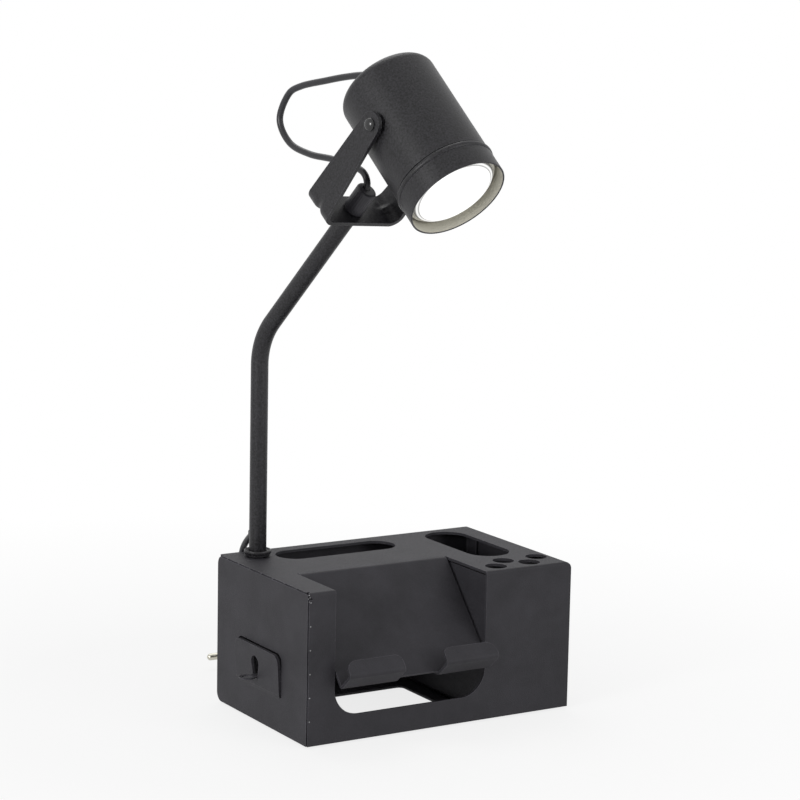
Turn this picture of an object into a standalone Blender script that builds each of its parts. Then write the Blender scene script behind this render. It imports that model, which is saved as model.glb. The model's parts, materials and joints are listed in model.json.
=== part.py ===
"""Desk lamp on a folded sheet-steel organizer, as separate solids at real size.

Metres, +Z up. The origin is on the desk, under the axis of the lamp's stem, and the
organizer's front faces -Y. Run with: blender --background --python part.py
"""

import math

import bmesh
import bpy
import numpy as np
from mathutils import Matrix, Vector

# Organizer box
BOX_WIDTH = 0.166
BOX_DEPTH = 0.1016
BOX_HEIGHT = 0.0824
SHEET = 0.0015
SIDE_FOLD_RADIUS = 0.004
FRONT_FOLD_RADIUS = 0.0018
REAR_CORNER_RADIUS = 0.005
GAP = 0.0003
OVERRUN = 0.002
FOOT_HEIGHT = 0.0012
FOOT_RADIUS = 0.004
FLANGE_LENGTH = 0.010
FLANGE_RADIUS = 0.002
FOLD_STEPS = 5
CORNER_STEPS = 6
HOLE_STEPS = 32

# Front window and the phone notch behind it, from the box's left side and front
WINDOW_FROM_LEFT = 0.0165
WINDOW_WIDTH = 0.094
WINDOW_SILL = 0.014
WINDOW_CORNER_RADIUS = 0.015
NOTCH_DEPTH = 0.0425

# Stitched seams at the left corner: open mitres with short bridges across them
SEAM_OPENING = 0.0007
BRIDGE_LENGTH = 0.0014
BRIDGE_PITCH = 0.0128
FIRST_BRIDGE = 0.0135
CORNER_RELIEF = 0.0021

# Openings of the top, from the box's left side, front and rear
LEFT_SLOT_START = 0.0381
LEFT_SLOT_LENGTH = 0.052
LEFT_SLOT_FROM_REAR = 0.0187
LEFT_SLOT_RADIUS = 0.011
RIGHT_SLOT_X = 0.1381
RIGHT_SLOT_START = 0.0427
RIGHT_SLOT_FROM_REAR = 0.018
RIGHT_SLOT_RADIUS = 0.0128
PEN_HOLE_RADIUS = 0.006
PEN_HOLE_PITCH = 0.0109
PEN_HOLE_FIRST_X = 0.1225
PEN_HOLE_FIRST_Y = 0.0095
PEN_HOLE_STAGGER = 0.0093
PEN_HOLES = 4

# Base plate and divider, from the box's left side and front
BASE_RIM_LEFT = 0.022
BASE_RIM_FRONT = 0.014
BASE_CUTOUT_WIDTH = 0.0815
BASE_CUTOUT_DEPTH = 0.0605
BASE_CUTOUT_RADIUS = 0.003
DIVIDER_FROM_LEFT = 0.1115
DIVIDER_HEADROOM = 0.0012
DIVIDER_FRONT_SLIT = 0.0008
DIVIDER_FOOT = 0.010

# Lanced flap of the left side, from the box's front and floor
FLAP_OPENING_START = 0.028
FLAP_OPENING_LENGTH = 0.050
FLAP_OPENING_LOW = 0.0195
FLAP_OPENING_HEIGHT = 0.0235
FLAP_SLIT = 0.002
FLAP_CORNER_RADIUS = 0.005
FLAP_JOGGLE = 0.0015
FLAP_JOGGLE_HEIGHT = 0.004
FLAP_LEAN = math.radians(4.5)
EYE_HOLE_Y = 0.0546
EYE_HOLE_LOW = 0.0255
EYE_HOLE_HEIGHT = 0.0102
EYE_HOLE_RADIUS = 0.004
EYE_OUTER_RADIUS = 0.00435
EYE_BORE_RADIUS = 0.0023
EYE_REACH = 0.0056
EYE_NECK_WIDTH = 0.005

# Phone cradle: a tongue bent down from the rear edge of the notch
CRADLE_MARGIN = 0.0008
CRADLE_LEAN = math.radians(42.0)
CRADLE_BACK_LENGTH = 0.0683
CRADLE_SHELF = 0.0127
CRADLE_LIP = 0.0088
CRADLE_FOLD_RADIUS = 0.0016
CRADLE_CORNER_RADIUS = 0.006
CABLE_GAP_FROM_LEFT = 0.0345
CABLE_GAP_WIDTH = 0.026
CABLE_GAP_CORNER_RADIUS = 0.004

# Stem: its axis from the box's left side and rear
STEM_FROM_LEFT = 0.0175
STEM_FROM_REAR = 0.0133
STEM_RADIUS = 0.0048
STEM_WALL = 0.0012
STEM_BELOW_TOP = 0.009
STEM_RISE = 0.1203
STEM_REACH = 0.0935
STEM_BEND_RADIUS = 0.037
STEM_BEND_STEPS = 12
STEM_LEAN = math.radians(41.3)
STEM_TURN = math.radians(17.5)
STEM_THREAD_RADIUS = 0.004
STEM_THREAD_ABOVE_YOKE = 0.0115
STEM_HOLE_CLEARANCE = 0.0004
COLLAR_RADIUS = 0.0075
COLLAR_HEIGHT = 0.0036
COLLAR_DISH = 0.0009
WASHER_RADIUS = 0.009
WASHER_HEIGHT = 0.001
STEM_NUT_RADIUS = 0.008
STEM_NUT_HEIGHT = 0.0045
SWIVEL_NUT_RADIUS = 0.0068
SWIVEL_NUT_HEIGHT = 0.0022
HEX_SIDES = 6

# Yoke: a bent strip whose two arms carry the head
YOKE_SWIVEL = math.radians(-6.0)
YOKE_THICKNESS = 0.0022
YOKE_WIDTH = 0.0145
YOKE_ARM = 0.067
YOKE_BEND_RADIUS = 0.0042
GUSSET_REACH = 0.0068
GUSSET_RADIUS = 0.0026
GUSSET_DENT_RADIUS = 0.0014
TILT_WASHER_RADIUS = 0.005
TILT_WASHER_THICKNESS = 0.0009
TILT_SCREW_RADIUS = 0.0019
TILT_SCREW_CLEARANCE = 0.0004
TILT_HEAD_RADIUS = 0.0034
TILT_HEAD_HEIGHT = 0.0018
TILT_NUT_RADIUS = 0.0038
TILT_NUT_THICKNESS = 0.0022
GRIP_RADIUS = 0.0051
GRIP_LENGTH = 0.0205
GRIP_EDGE_RADIUS = 0.0014
GRIP_MOUTH_RADIUS = 0.0038
GRIP_MOUTH_DEPTH = 0.0044

# Head: stations are measured along its axis from the tilt axis, forward positive
HEAD_TILT = math.radians(92.0)
HEAD_RADIUS = 0.0263
HEAD_WALL = 0.0011
HEAD_REAR = 0.027
HEAD_REAR_RADIUS = 0.008
HEAD_RIM = 0.0492
RING_LENGTH = 0.0150
RING_PROUD = 0.0002
BEAD_PROUD = 0.0008
BEAD_WIDTH = 0.0032
BEAD_ROUND = 0.0007
RING_WALL = 0.0009
RING_SLEEVE = 0.006
RING_SLEEVE_WALL = 0.0008
HEAD_GROMMET_RADIUS = 0.0042
HEAD_GROMMET_FLANGE = 0.0058
HEAD_GROMMET_PROUD = 0.0018
HEAD_STEPS = 48
LAMP_RADIUS = 0.0245
LAMP_RIM_HEIGHT = 0.003
LAMP_RECESS = 0.0065
LAMP_NECK_RADIUS = 0.0087
LAMP_NECK_TOP = 0.005
LAMP_BASE = 0.003
LAMP_SHOULDER_RADIUS = 0.0135
LAMP_SHOULDER = 0.009
LAMP_MIDDLE_RADIUS = 0.0205
LAMP_MIDDLE = 0.027
LENS_RADIUS = 0.0226
LENS_DOME = 0.0042
LENS_EDGE = 0.0008
PIN_SPREAD = 0.005
PIN_LENGTH = 0.007
PIN_NECK_RADIUS = 0.0015
PIN_RADIUS = 0.0025
PIN_FOOT = 0.003
PIN_HOLE_CLEARANCE = 0.0004
HOLDER_RADIUS = 0.0135
HOLDER_CUP_DEPTH = 0.004
HOLDER_FLOOR_CLEARANCE = 0.0006

# Mains cord and what is on it
CORD_RADIUS = 0.0018
CORD_SIDES_RESOLUTION = 2
CORD_CLEARANCE = 0.0003
EXIT_BEND_RADIUS = 0.014
EXIT_ANGLE = math.radians(50.0)
EXIT_ABOVE_TOP = 0.0124
GROMMET_WALL = 0.0008
GROMMET_START = math.radians(34.0)
GROMMET_END = math.radians(54.0)
GROMMET_STEPS = 5
COIL_CENTRE_X = 0.119
COIL_CENTRE_Y = 0.0462
COIL_PITCH = 0.0041
COIL_TURNS_PER_LAYER = 2.5
COIL_LAYERS = 4
COIL_OUTER_RADIUS = 0.0268
COIL_POINTS_PER_TURN = 24
COIL_SIDES_RESOLUTION = 1
TIE_THICKNESS = 0.0008
TIE_WIDTH = 0.005
TIE_CORNER_RADIUS = 0.0015
SWITCH_START = 0.027
SWITCH_Y = 0.0262
SWITCH_LENGTH = 0.056
SWITCH_WIDTH = 0.022
SWITCH_HEIGHT = 0.0155
SWITCH_CORNER_RADIUS = 0.007
SWITCH_EDGE = 0.0012
CORD_SOCKET_DEPTH = 0.005
ROCKER_RADIUS = 0.007
ROCKER_WIDTH = 0.010
ROCKER_PIVOT_BELOW_TOP = 0.0035
ROCKER_CENTRE_RISE = 0.0026
ROCKER_END_RISE = 0.0046
ROCKER_END_INSET = 0.0004
ROCKER_TILT = math.radians(8.0)
PLUG_ENTRY_X = 0.084
PLUG_Y = 0.066
PLUG_LENGTH = 0.036
PLUG_WIDTH = 0.0355
PLUG_NOSE_WIDTH = 0.026
PLUG_TAIL_WIDTH = 0.014
PLUG_HEIGHT = 0.0137
PLUG_EDGE = 0.0015
PLUG_PIN_RADIUS = 0.002
PLUG_PIN_LENGTH = 0.019
PLUG_PIN_SPREAD = 0.0093
RELIEF_LENGTH = 0.020
RELIEF_WIDE_RADIUS = 0.0042
RELIEF_SLIM_RADIUS = 0.0029

# Derived places
LEFT = -STEM_FROM_LEFT
RIGHT = LEFT + BOX_WIDTH
REAR = STEM_FROM_REAR
FRONT = REAR - BOX_DEPTH
FLOOR = FOOT_HEIGHT
TOP = FLOOR + BOX_HEIGHT
CORD_Z = CORD_RADIUS
YOKE_OFFSET = HEAD_RADIUS + 2 * GAP + TILT_WASHER_THICKNESS + YOKE_THICKNESS / 2
STEM_BORE_RADIUS = STEM_THREAD_RADIUS - STEM_WALL

parts = bpy.data.collections.new("desk_lamp_with_organizer")
cutters = bpy.data.collections.new("cutters")


def linear(code):
    """The linear colour of an sRGB hex code."""
    shares = [int(code[i : i + 2], 16) / 255 for i in (0, 2, 4)]
    return [c / 12.92 if c <= 0.04045 else ((c + 0.055) / 1.055) ** 2.4 for c in shares] + [1.0]


def material(name, code, roughness, metallic=0.0):
    """A plain Principled material."""
    made = bpy.data.materials.new(name)
    made.use_nodes = True
    shader = made.node_tree.nodes["Principled BSDF"]
    shader.inputs["Base Color"].default_value = linear(code)
    shader.inputs["Roughness"].default_value = roughness
    shader.inputs["Metallic"].default_value = metallic
    made.diffuse_color = linear(code)
    return made


def add(name, bm, look, parent=None, cutter=False):
    """A new object from a bmesh, which is freed."""
    mesh = bpy.data.meshes.new(name)
    bm.to_mesh(mesh)
    bm.free()
    obj = bpy.data.objects.new(name, mesh)
    (cutters if cutter else parts).objects.link(obj)
    obj.hide_render = cutter
    if cutter:
        obj.display_type = "WIRE"
    else:
        mesh.materials.append(look)
    obj.parent = parent
    return obj


def boolean(obj, other, operation="DIFFERENCE"):
    """Adds a Boolean of the object with a cutter."""
    modifier = obj.modifiers.new(operation.lower() + "_" + other.name, "BOOLEAN")
    modifier.object = other
    modifier.operation = operation
    modifier.solver = "EXACT"


def smooth(obj, degrees=35.0):
    """Round shading, sharp where faces meet at more than the angle."""
    obj.data.shade_smooth()
    obj.data.set_sharp_from_angle(angle=math.radians(degrees))


# Outlines: lists of 2D points


def rounded(corners, steps=CORNER_STEPS):
    """An outline from corners (x, y, radius): each corner with a radius becomes an arc."""
    points = []
    for i, (x, y, radius) in enumerate(corners):
        here = Vector((x, y))
        if not radius:
            points.append((x, y))
            continue
        back = (Vector(corners[i - 1][:2]) - here).normalized()
        on = (Vector(corners[(i + 1) % len(corners)][:2]) - here).normalized()
        half = back.angle(on) / 2
        centre = here + (back + on).normalized() * (radius / math.sin(half))
        spoke = here + back * (radius / math.tan(half)) - centre
        turn = math.copysign(math.pi - 2 * half, back.x * on.y - back.y * on.x)
        for k in range(steps + 1):
            angle = -turn * k / steps
            c, s = math.cos(angle), math.sin(angle)
            points.append((centre.x + c * spoke.x - s * spoke.y, centre.y + s * spoke.x + c * spoke.y))
    return points


def circle(x, y, radius, steps=HOLE_STEPS):
    """A circle's outline."""
    angles = [2 * math.pi * k / steps for k in range(steps)]
    return [(x + radius * math.cos(a), y + radius * math.sin(a)) for a in angles]


def stadium(x0, y0, x1, y1, radius, steps=HOLE_STEPS // 2):
    """The outline of a slot with round ends about two centres."""
    along = math.atan2(y1 - y0, x1 - x0)
    points = []
    for x, y, start in ((x1, y1, along - math.pi / 2), (x0, y0, along + math.pi / 2)):
        for k in range(steps + 1):
            angle = start + math.pi * k / steps
            points.append((x + radius * math.cos(angle), y + radius * math.sin(angle)))
    return points


def rectangle(x0, y0, x1, y1, radius=0.0):
    """A rectangle's outline, with round corners if a radius is given."""
    return rounded([(x0, y0, radius), (x1, y0, radius), (x1, y1, radius), (x0, y1, radius)])


# Bodies from outlines


def filled(loops):
    """A flat sheet of triangles in XY: loops inside others are holes."""
    bm = bmesh.new()
    for loop in loops:
        verts = [bm.verts.new((x, y, 0.0)) for x, y in loop]
        for a, b in zip(verts, verts[1:] + verts[:1]):
            bm.edges.new((a, b))
    bmesh.ops.triangle_fill(bm, use_beauty=True, edges=bm.edges[:], normal=(0, 0, 1))
    return bm


def prism(loops, axis, low, high):
    """A straight body: outlines in YZ, XZ or XY, drawn out along X, Y or Z from low to high."""
    bm = filled(loops)
    made = bmesh.ops.extrude_face_region(bm, geom=bm.faces[:])
    moved = [v for v in made["geom"] if isinstance(v, bmesh.types.BMVert)]
    bmesh.ops.translate(bm, verts=moved, vec=(0, 0, high - low))
    for v in bm.verts:
        a, b, c = v.co.x, v.co.y, v.co.z + low
        v.co = {"X": (c, a, b), "Y": (a, c, b), "Z": (a, b, c)}[axis]
    bmesh.ops.recalc_face_normals(bm, faces=bm.faces[:])
    if bm.calc_volume(signed=True) < 0.0:
        bmesh.ops.reverse_faces(bm, faces=bm.faces[:])
    return bm


def bent_line(start, heading, moves):
    """Stations (u, p, q) of a line in a plane that starts at a point and heads at an angle.

    A move is a length straight on, or a pair: turn angle and radius.
    """
    p, q = start
    stations = [(0.0, p, q)]
    u = 0.0
    for move in moves:
        if isinstance(move, tuple):
            turn, radius = move
            chord = 2 * radius * math.sin(abs(turn) / FOLD_STEPS / 2)
            steps = [(chord, turn / FOLD_STEPS)] * FOLD_STEPS
        else:
            steps = [(move, 0.0)]
        for length, turn_step in steps:
            heading += turn_step / 2
            u += length
            p += length * math.cos(heading)
            q += length * math.sin(heading)
            heading += turn_step / 2
            stations.append((u, p, q))
    return np.array(stations)


def folded(name, loops, line, place, look, parent=None, thickness=SHEET):
    """A sheet of even thickness: a flat pattern (u, v) whose u follows a bent line.

    place(p, q, v) gives the point of space for the line's plane point and the width v.
    """
    bm = filled(loops)
    for u in line[1:-1, 0]:
        geometry = bm.verts[:] + bm.edges[:] + bm.faces[:]
        bmesh.ops.bisect_plane(bm, geom=geometry, dist=GAP / 100, plane_co=(u, 0, 0), plane_no=(1, 0, 0))
    for v in bm.verts:
        p = float(np.interp(v.co.x, line[:, 0], line[:, 1]))
        q = float(np.interp(v.co.x, line[:, 0], line[:, 2]))
        v.co = place(p, q, v.co.y)
    obj = add(name, bm, look, parent)
    solid = obj.modifiers.new("sheet", "SOLIDIFY")
    solid.thickness = thickness
    solid.offset = 0.0
    solid.use_even_offset = True
    return obj


def turned(name, profile, look, parent=None, steps=HOLE_STEPS, cutter=False):
    """A body turned about Z from a closed outline (radius, z) that runs down its outer side."""
    bm = bmesh.new()
    verts = [bm.verts.new((r, 0.0, z)) for r, z in profile]
    ring = list(zip(verts, verts[1:] + verts[:1]))
    on_axis = profile[0][0] == 0.0 and profile[-1][0] == 0.0
    for a, b in ring[:-1] if on_axis else ring:
        bm.edges.new((a, b))
    obj = add(name, bm, look, parent, cutter)
    screw = obj.modifiers.new("turn", "SCREW")
    screw.steps = steps
    screw.render_steps = steps
    screw.use_merge_vertices = True
    screw.merge_threshold = 0.000001
    screw.use_smooth_shade = True
    return obj


def tube(name, points, radius, look, parent=None, resolution=CORD_SIDES_RESOLUTION, radii=None):
    """A round bar along points, closed at both ends."""
    curve = bpy.data.curves.new(name, "CURVE")
    curve.dimensions = "3D"
    curve.bevel_depth = radius
    curve.bevel_resolution = resolution
    curve.use_fill_caps = True
    spline = curve.splines.new("POLY")
    spline.points.add(len(points) - 1)
    for i, point in enumerate(points):
        spline.points[i].co = (*point, 1.0)
        spline.points[i].radius = radii[i] / radius if radii else 1.0
    obj = bpy.data.objects.new(name, curve)
    parts.objects.link(obj)
    if look:
        curve.materials.append(look)
    obj.parent = parent
    return obj


def as_mesh(obj, cutter=False):
    """The curve as one welded mesh, under the same name."""
    bpy.context.view_layer.update()
    graph = bpy.context.evaluated_depsgraph_get()
    mesh = bpy.data.meshes.new_from_object(obj.evaluated_get(graph))
    bm = bmesh.new()
    bm.from_mesh(mesh)
    bmesh.ops.remove_doubles(bm, verts=bm.verts[:], dist=GAP / 100)
    bmesh.ops.recalc_face_normals(bm, faces=bm.faces[:])
    if bm.calc_volume(signed=True) < 0.0:
        bmesh.ops.reverse_faces(bm, faces=bm.faces[:])
    name, look, parent = obj.name, obj.data.materials[0] if obj.data.materials else None, obj.parent
    bpy.data.objects.remove(obj)
    bpy.data.meshes.remove(mesh)
    return add(name, bm, look, parent, cutter)


def smooth_route(points, spacing):
    """Points at an even spacing on one smooth curve through the route's points."""
    route = np.array(points, float)
    ghost = np.vstack([2 * route[0] - route[1], route, 2 * route[-1] - route[-2]])
    t = np.linspace(0.0, 1.0, 41)[:-1, None]
    pieces = []
    for a, b, c, d in zip(ghost, ghost[1:], ghost[2:], ghost[3:]):
        bend = (2 * a - 5 * b + 4 * c - d) * t**2 + (3 * b - a - 3 * c + d) * t**3
        pieces.append(0.5 * (2 * b + (c - a) * t + bend))
    fine = np.vstack(pieces + [route[-1:]])
    run = np.concatenate([[0.0], np.cumsum(np.linalg.norm(np.diff(fine, axis=0), axis=1))])
    even = np.linspace(0.0, run[-1], max(2, round(run[-1] / spacing) + 1))
    return np.column_stack([np.interp(even, run, fine[:, k]) for k in range(3)])


# The sheet-steel box


def mitre(a, b, side_a, side_b, setback):
    """The outline of what a mitre takes from a plate: the plate's outer corner is at (a, b).

    The plate runs from the corner along the first axis towards side_a, and side_b is inward.
    """
    deep = SHEET + OVERRUN
    return [
        (a - side_a * deep, b - side_b * OVERRUN),
        (a + side_a * (setback - OVERRUN), b - side_b * OVERRUN),
        (a + side_a * (setback + deep), b + side_b * deep),
        (a - side_a * deep, b + side_b * deep),
    ]


def stitched_mitre(panel, corner, axis, low, high):
    """Mitres a plate's edge along an axis, open but for short bridges at an even pitch."""
    narrow = prism([mitre(*corner, GAP * math.sqrt(2) - SEAM_OPENING)], axis, low - OVERRUN, high + OVERRUN)
    boolean(panel, add(panel.name + "_edge_cutter", narrow, None, cutter=True))
    opened = bmesh.new()
    start = low - OVERRUN
    while start < high:
        place = low + FIRST_BRIDGE if start < low else start - BRIDGE_LENGTH / 2 + BRIDGE_PITCH
        end = place - BRIDGE_LENGTH / 2 if place < high - CORNER_RELIEF else high + OVERRUN
        piece = prism([mitre(*corner, SEAM_OPENING)], axis, start, end)
        mesh = bpy.data.meshes.new("span")
        piece.to_mesh(mesh)
        piece.free()
        opened.from_mesh(mesh)
        bpy.data.meshes.remove(mesh)
        start = place + BRIDGE_LENGTH / 2
    boolean(panel, add(panel.name + "_seam_cutter", opened, None, cutter=True))


def front_panel(look):
    """The front: a U window open at the top, and a tight fold over to the top."""
    radius = FRONT_FOLD_RADIUS - SHEET / 2
    drop = TOP - FRONT_FOLD_RADIUS - FLOOR
    line = bent_line((FRONT + FRONT_FOLD_RADIUS, TOP - SHEET / 2), math.pi, [(math.pi / 2, radius), drop])
    end = line[-1, 0]
    x0 = LEFT + WINDOW_FROM_LEFT
    x1 = x0 + WINDOW_WIDTH
    sill = end - WINDOW_SILL
    outline = rounded(
        [
            (0.0, LEFT, 0.0),
            (end, LEFT, 0.0),
            (end, RIGHT, 0.0),
            (0.0, RIGHT, SIDE_FOLD_RADIUS),
            (0.0, x1, 0.0),
            (sill, x1, WINDOW_CORNER_RADIUS),
            (sill, x0, WINDOW_CORNER_RADIUS),
            (0.0, x0, 0.0),
        ]
    )
    panel = folded("front_panel", [outline], line, lambda p, q, v: (v, p, q), look)
    stitched_mitre(panel, (LEFT, FRONT, 1, 1), "Z", FLOOR, TOP)
    relief = prism(
        [rectangle(LEFT - OVERRUN, TOP - CORNER_RELIEF, LEFT + CORNER_RELIEF, TOP + OVERRUN)],
        "Y",
        FRONT - OVERRUN,
        FRONT + FRONT_FOLD_RADIUS + OVERRUN,
    )
    boolean(panel, add("corner_relief_cutter", relief, None, cutter=True))
    return panel


def top_shell(look):
    """The top and right side, folded from one sheet, with the notch, slots and holes."""
    radius = SIDE_FOLD_RADIUS - SHEET / 2
    start = FRONT + FRONT_FOLD_RADIUS + GAP
    flat = BOX_WIDTH - SIDE_FOLD_RADIUS
    drop = BOX_HEIGHT - SIDE_FOLD_RADIUS
    line = bent_line((LEFT, TOP - SHEET / 2), 0.0, [flat, (-math.pi / 2, radius), drop])
    end = line[-1, 0]
    notch = FRONT + NOTCH_DEPTH
    x0 = WINDOW_FROM_LEFT
    x1 = x0 + WINDOW_WIDTH
    outline = [
        (0.0, start),
        (x0, start),
        (x0, notch),
        (x1, notch),
        (x1, start),
        (end, start),
        (end, REAR),
        (0.0, REAR),
    ]
    slot_y = REAR - LEFT_SLOT_FROM_REAR
    left_slot = stadium(LEFT_SLOT_START, slot_y, LEFT_SLOT_START + LEFT_SLOT_LENGTH, slot_y, LEFT_SLOT_RADIUS)
    y0 = FRONT + RIGHT_SLOT_START
    y1 = REAR - RIGHT_SLOT_FROM_REAR
    right_slot = stadium(RIGHT_SLOT_X, y0, RIGHT_SLOT_X, y1, RIGHT_SLOT_RADIUS)
    stem_hole = circle(STEM_FROM_LEFT, 0.0, STEM_RADIUS + STEM_HOLE_CLEARANCE)
    loops = [outline, left_slot, right_slot, stem_hole]
    for k in range(PEN_HOLES):
        y = FRONT + PEN_HOLE_FIRST_Y + (k % 2) * PEN_HOLE_STAGGER
        loops.append(circle(PEN_HOLE_FIRST_X + k * PEN_HOLE_PITCH, y, PEN_HOLE_RADIUS))
    shell = folded("top_shell", loops, line, lambda p, q, v: (p, v, q), look)
    stitched_mitre(shell, (LEFT, TOP, 1, -1), "Y", FRONT, REAR)
    smooth(shell)
    return shell


def flap_offset(z):
    """How far the flap stands out at a height: a smooth joggle, then a straight lean."""
    start = FLOOR + FLAP_OPENING_LOW - FLAP_JOGGLE_HEIGHT / 2
    share = min(max((z - start) / FLAP_JOGGLE_HEIGHT, 0.0), 1.0)
    above = max(z - start - FLAP_JOGGLE_HEIGHT, 0.0)
    return FLAP_JOGGLE * share * share * (3 - 2 * share) + above * math.tan(FLAP_LEAN)


def left_panel(look):
    """The left side, with a flap lanced out of it and a cable eye lanced out of the flap."""
    outline = rounded(
        [
            (FRONT, FLOOR, 0.0),
            (REAR, FLOOR, REAR_CORNER_RADIUS),
            (REAR, TOP, REAR_CORNER_RADIUS),
            (FRONT, TOP, 0.0),
        ]
    )
    y0 = FRONT + FLAP_OPENING_START
    y1 = y0 + FLAP_OPENING_LENGTH
    z0 = FLOOR + FLAP_OPENING_LOW
    z1 = z0 + FLAP_OPENING_HEIGHT
    radius = FLAP_CORNER_RADIUS
    slit = rounded(
        [
            (y0, z0, 0.0),
            (y0 + FLAP_SLIT, z0, 0.0),
            (y0 + FLAP_SLIT, z1 - FLAP_SLIT, radius),
            (y1 - FLAP_SLIT, z1 - FLAP_SLIT, radius),
            (y1 - FLAP_SLIT, z0, 0.0),
            (y1, z0, 0.0),
            (y1, z1, radius),
            (y0, z1, radius),
        ]
    )
    eye_y = FRONT + EYE_HOLE_Y
    eye_low = FLOOR + EYE_HOLE_LOW
    eye_high = eye_low + EYE_HOLE_HEIGHT - EYE_HOLE_RADIUS
    half_neck = EYE_NECK_WIDTH / 2
    eye_hole = [(eye_y + half_neck, eye_low)]
    for k in range(HOLE_STEPS // 2 + 1):
        angle = math.pi * k / (HOLE_STEPS // 2)
        eye_hole.append((eye_y + EYE_HOLE_RADIUS * math.cos(angle), eye_high + EYE_HOLE_RADIUS * math.sin(angle)))
    eye_hole.append((eye_y - half_neck, eye_low))
    bm = filled([outline, slit, eye_hole])
    start = z0 - FLAP_JOGGLE_HEIGHT / 2
    bends = [start + FLAP_JOGGLE_HEIGHT * k / FOLD_STEPS for k in range(FOLD_STEPS + 1)]
    for z in bends + [z1 - FLAP_SLIT]:
        geometry = bm.verts[:] + bm.edges[:] + bm.faces[:]
        bmesh.ops.bisect_plane(bm, geom=geometry, dist=GAP / 100, plane_co=(0, z, 0), plane_no=(0, 1, 0))
    for y in (y0 + FLAP_SLIT, y1 - FLAP_SLIT):
        geometry = bm.verts[:] + bm.edges[:] + bm.faces[:]
        bmesh.ops.bisect_plane(bm, geom=geometry, dist=GAP / 100, plane_co=(y, 0, 0), plane_no=(1, 0, 0))
    for v in bm.verts:
        y, z = v.co.x, v.co.y
        inside = y0 + FLAP_SLIT - GAP < y < y1 - FLAP_SLIT + GAP and z < z1 - FLAP_SLIT + GAP
        v.co = (LEFT + SHEET / 2 - (flap_offset(z) if inside else 0.0), y, z)
    panel = add("left_panel", bm, look)
    solid = panel.modifiers.new("sheet", "SOLIDIFY")
    solid.thickness = SHEET
    solid.offset = 0.0
    solid.use_even_offset = True
    corner = mitre(FRONT, LEFT, 1, 1, SEAM_OPENING)
    front_cut = prism([[(b, a) for a, b in corner]], "Z", FLOOR - OVERRUN, TOP + OVERRUN)
    boolean(panel, add("left_front_seam_cutter", front_cut, None, cutter=True))
    corner = mitre(TOP, LEFT, -1, 1, SEAM_OPENING)
    top_cut = prism([[(b, a) for a, b in corner]], "Y", FRONT - OVERRUN, REAR + OVERRUN)
    boolean(panel, add("left_top_seam_cutter", top_cut, None, cutter=True))
    boolean(panel, cable_eye(eye_y, eye_low), "UNION")
    return panel


def cable_eye(eye_y, eye_low):
    """The horizontal eye, as a plate with a neck that starts inside the flap's thickness."""
    face = LEFT + SHEET / 2 - flap_offset(eye_low + SHEET / 2)
    eye_x = face - EYE_REACH
    half_neck = EYE_NECK_WIDTH / 2
    turn = math.asin(half_neck / EYE_OUTER_RADIUS)
    outer = [(face, eye_y - half_neck), (face, eye_y + half_neck)]
    for k in range(HOLE_STEPS + 1):
        angle = turn + (2 * math.pi - 2 * turn) * k / HOLE_STEPS
        outer.append((eye_x + EYE_OUTER_RADIUS * math.cos(angle), eye_y + EYE_OUTER_RADIUS * math.sin(angle)))
    bore = circle(eye_x, eye_y, EYE_BORE_RADIUS, HOLE_STEPS // 2)
    return add("cable_eye", prism([outer, bore], "Z", eye_low - SHEET, eye_low), None, cutter=True)


def rear_panel(look):
    """The rear, with a flange along the inside of each side. It stands on the base plate."""
    low = FLOOR + SHEET + GAP
    high = TOP - SHEET - GAP
    x0 = LEFT + SHEET + GAP + SHEET / 2
    x1 = RIGHT - SHEET - GAP - SHEET / 2
    y = REAR - SHEET / 2
    flange = FLANGE_LENGTH - FLANGE_RADIUS
    across = x1 - x0 - 2 * FLANGE_RADIUS
    turn = (math.pi / 2, FLANGE_RADIUS)
    line = bent_line((x0, REAR - SHEET / 2 - FLANGE_LENGTH), math.pi / 2, [flange, (-turn[0], turn[1]), across])
    tail = bent_line((line[-1, 1], y), 0.0, [(-turn[0], turn[1]), flange])
    tail[:, 0] += line[-1, 0]
    line = np.vstack([line, tail[1:]])
    end = line[-1, 0]
    bend = line[-2, 0] - line[-2 - FOLD_STEPS, 0]
    clear = TOP - SIDE_FOLD_RADIUS
    outline = [
        (0.0, low),
        (end, low),
        (end, clear),
        (end - flange, clear),
        (end - flange - bend, high),
        (0.0, high),
    ]
    panel = folded("rear_panel", [outline], line, lambda p, q, v: (p, q, v), look)
    smooth(panel)
    return panel


def base_plate(look):
    """The floor of the box, with the large cut-out."""
    inner = SHEET + GAP
    outline = rectangle(LEFT + inner, FRONT + inner, RIGHT - inner, REAR)
    x0 = LEFT + BASE_RIM_LEFT
    y0 = FRONT + BASE_RIM_FRONT
    hole = rectangle(x0, y0, x0 + BASE_CUTOUT_WIDTH, y0 + BASE_CUTOUT_DEPTH, BASE_CUTOUT_RADIUS)
    return add("base_plate", prism([outline, hole], "Z", FLOOR, FLOOR + SHEET), look)


def divider_wall(look):
    """The wall at the window's right side, with a foot on the base plate."""
    foot = FLOOR + SHEET + GAP + SHEET / 2
    x = LEFT + DIVIDER_FROM_LEFT + SHEET / 2
    height = TOP - SHEET - DIVIDER_HEADROOM - foot - FLANGE_RADIUS
    turn = (math.pi / 2, FLANGE_RADIUS)
    line = bent_line((x + DIVIDER_FOOT, foot), math.pi, [DIVIDER_FOOT - turn[1], (-turn[0], turn[1]), height])
    front = FRONT + SHEET + DIVIDER_FRONT_SLIT
    rear = REAR - SHEET - GAP
    outline = rectangle(0.0, front, line[-1, 0], rear)
    wall = folded("divider_wall", [outline], line, lambda p, q, v: (p, v, q), look)
    smooth(wall)
    return wall


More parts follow.
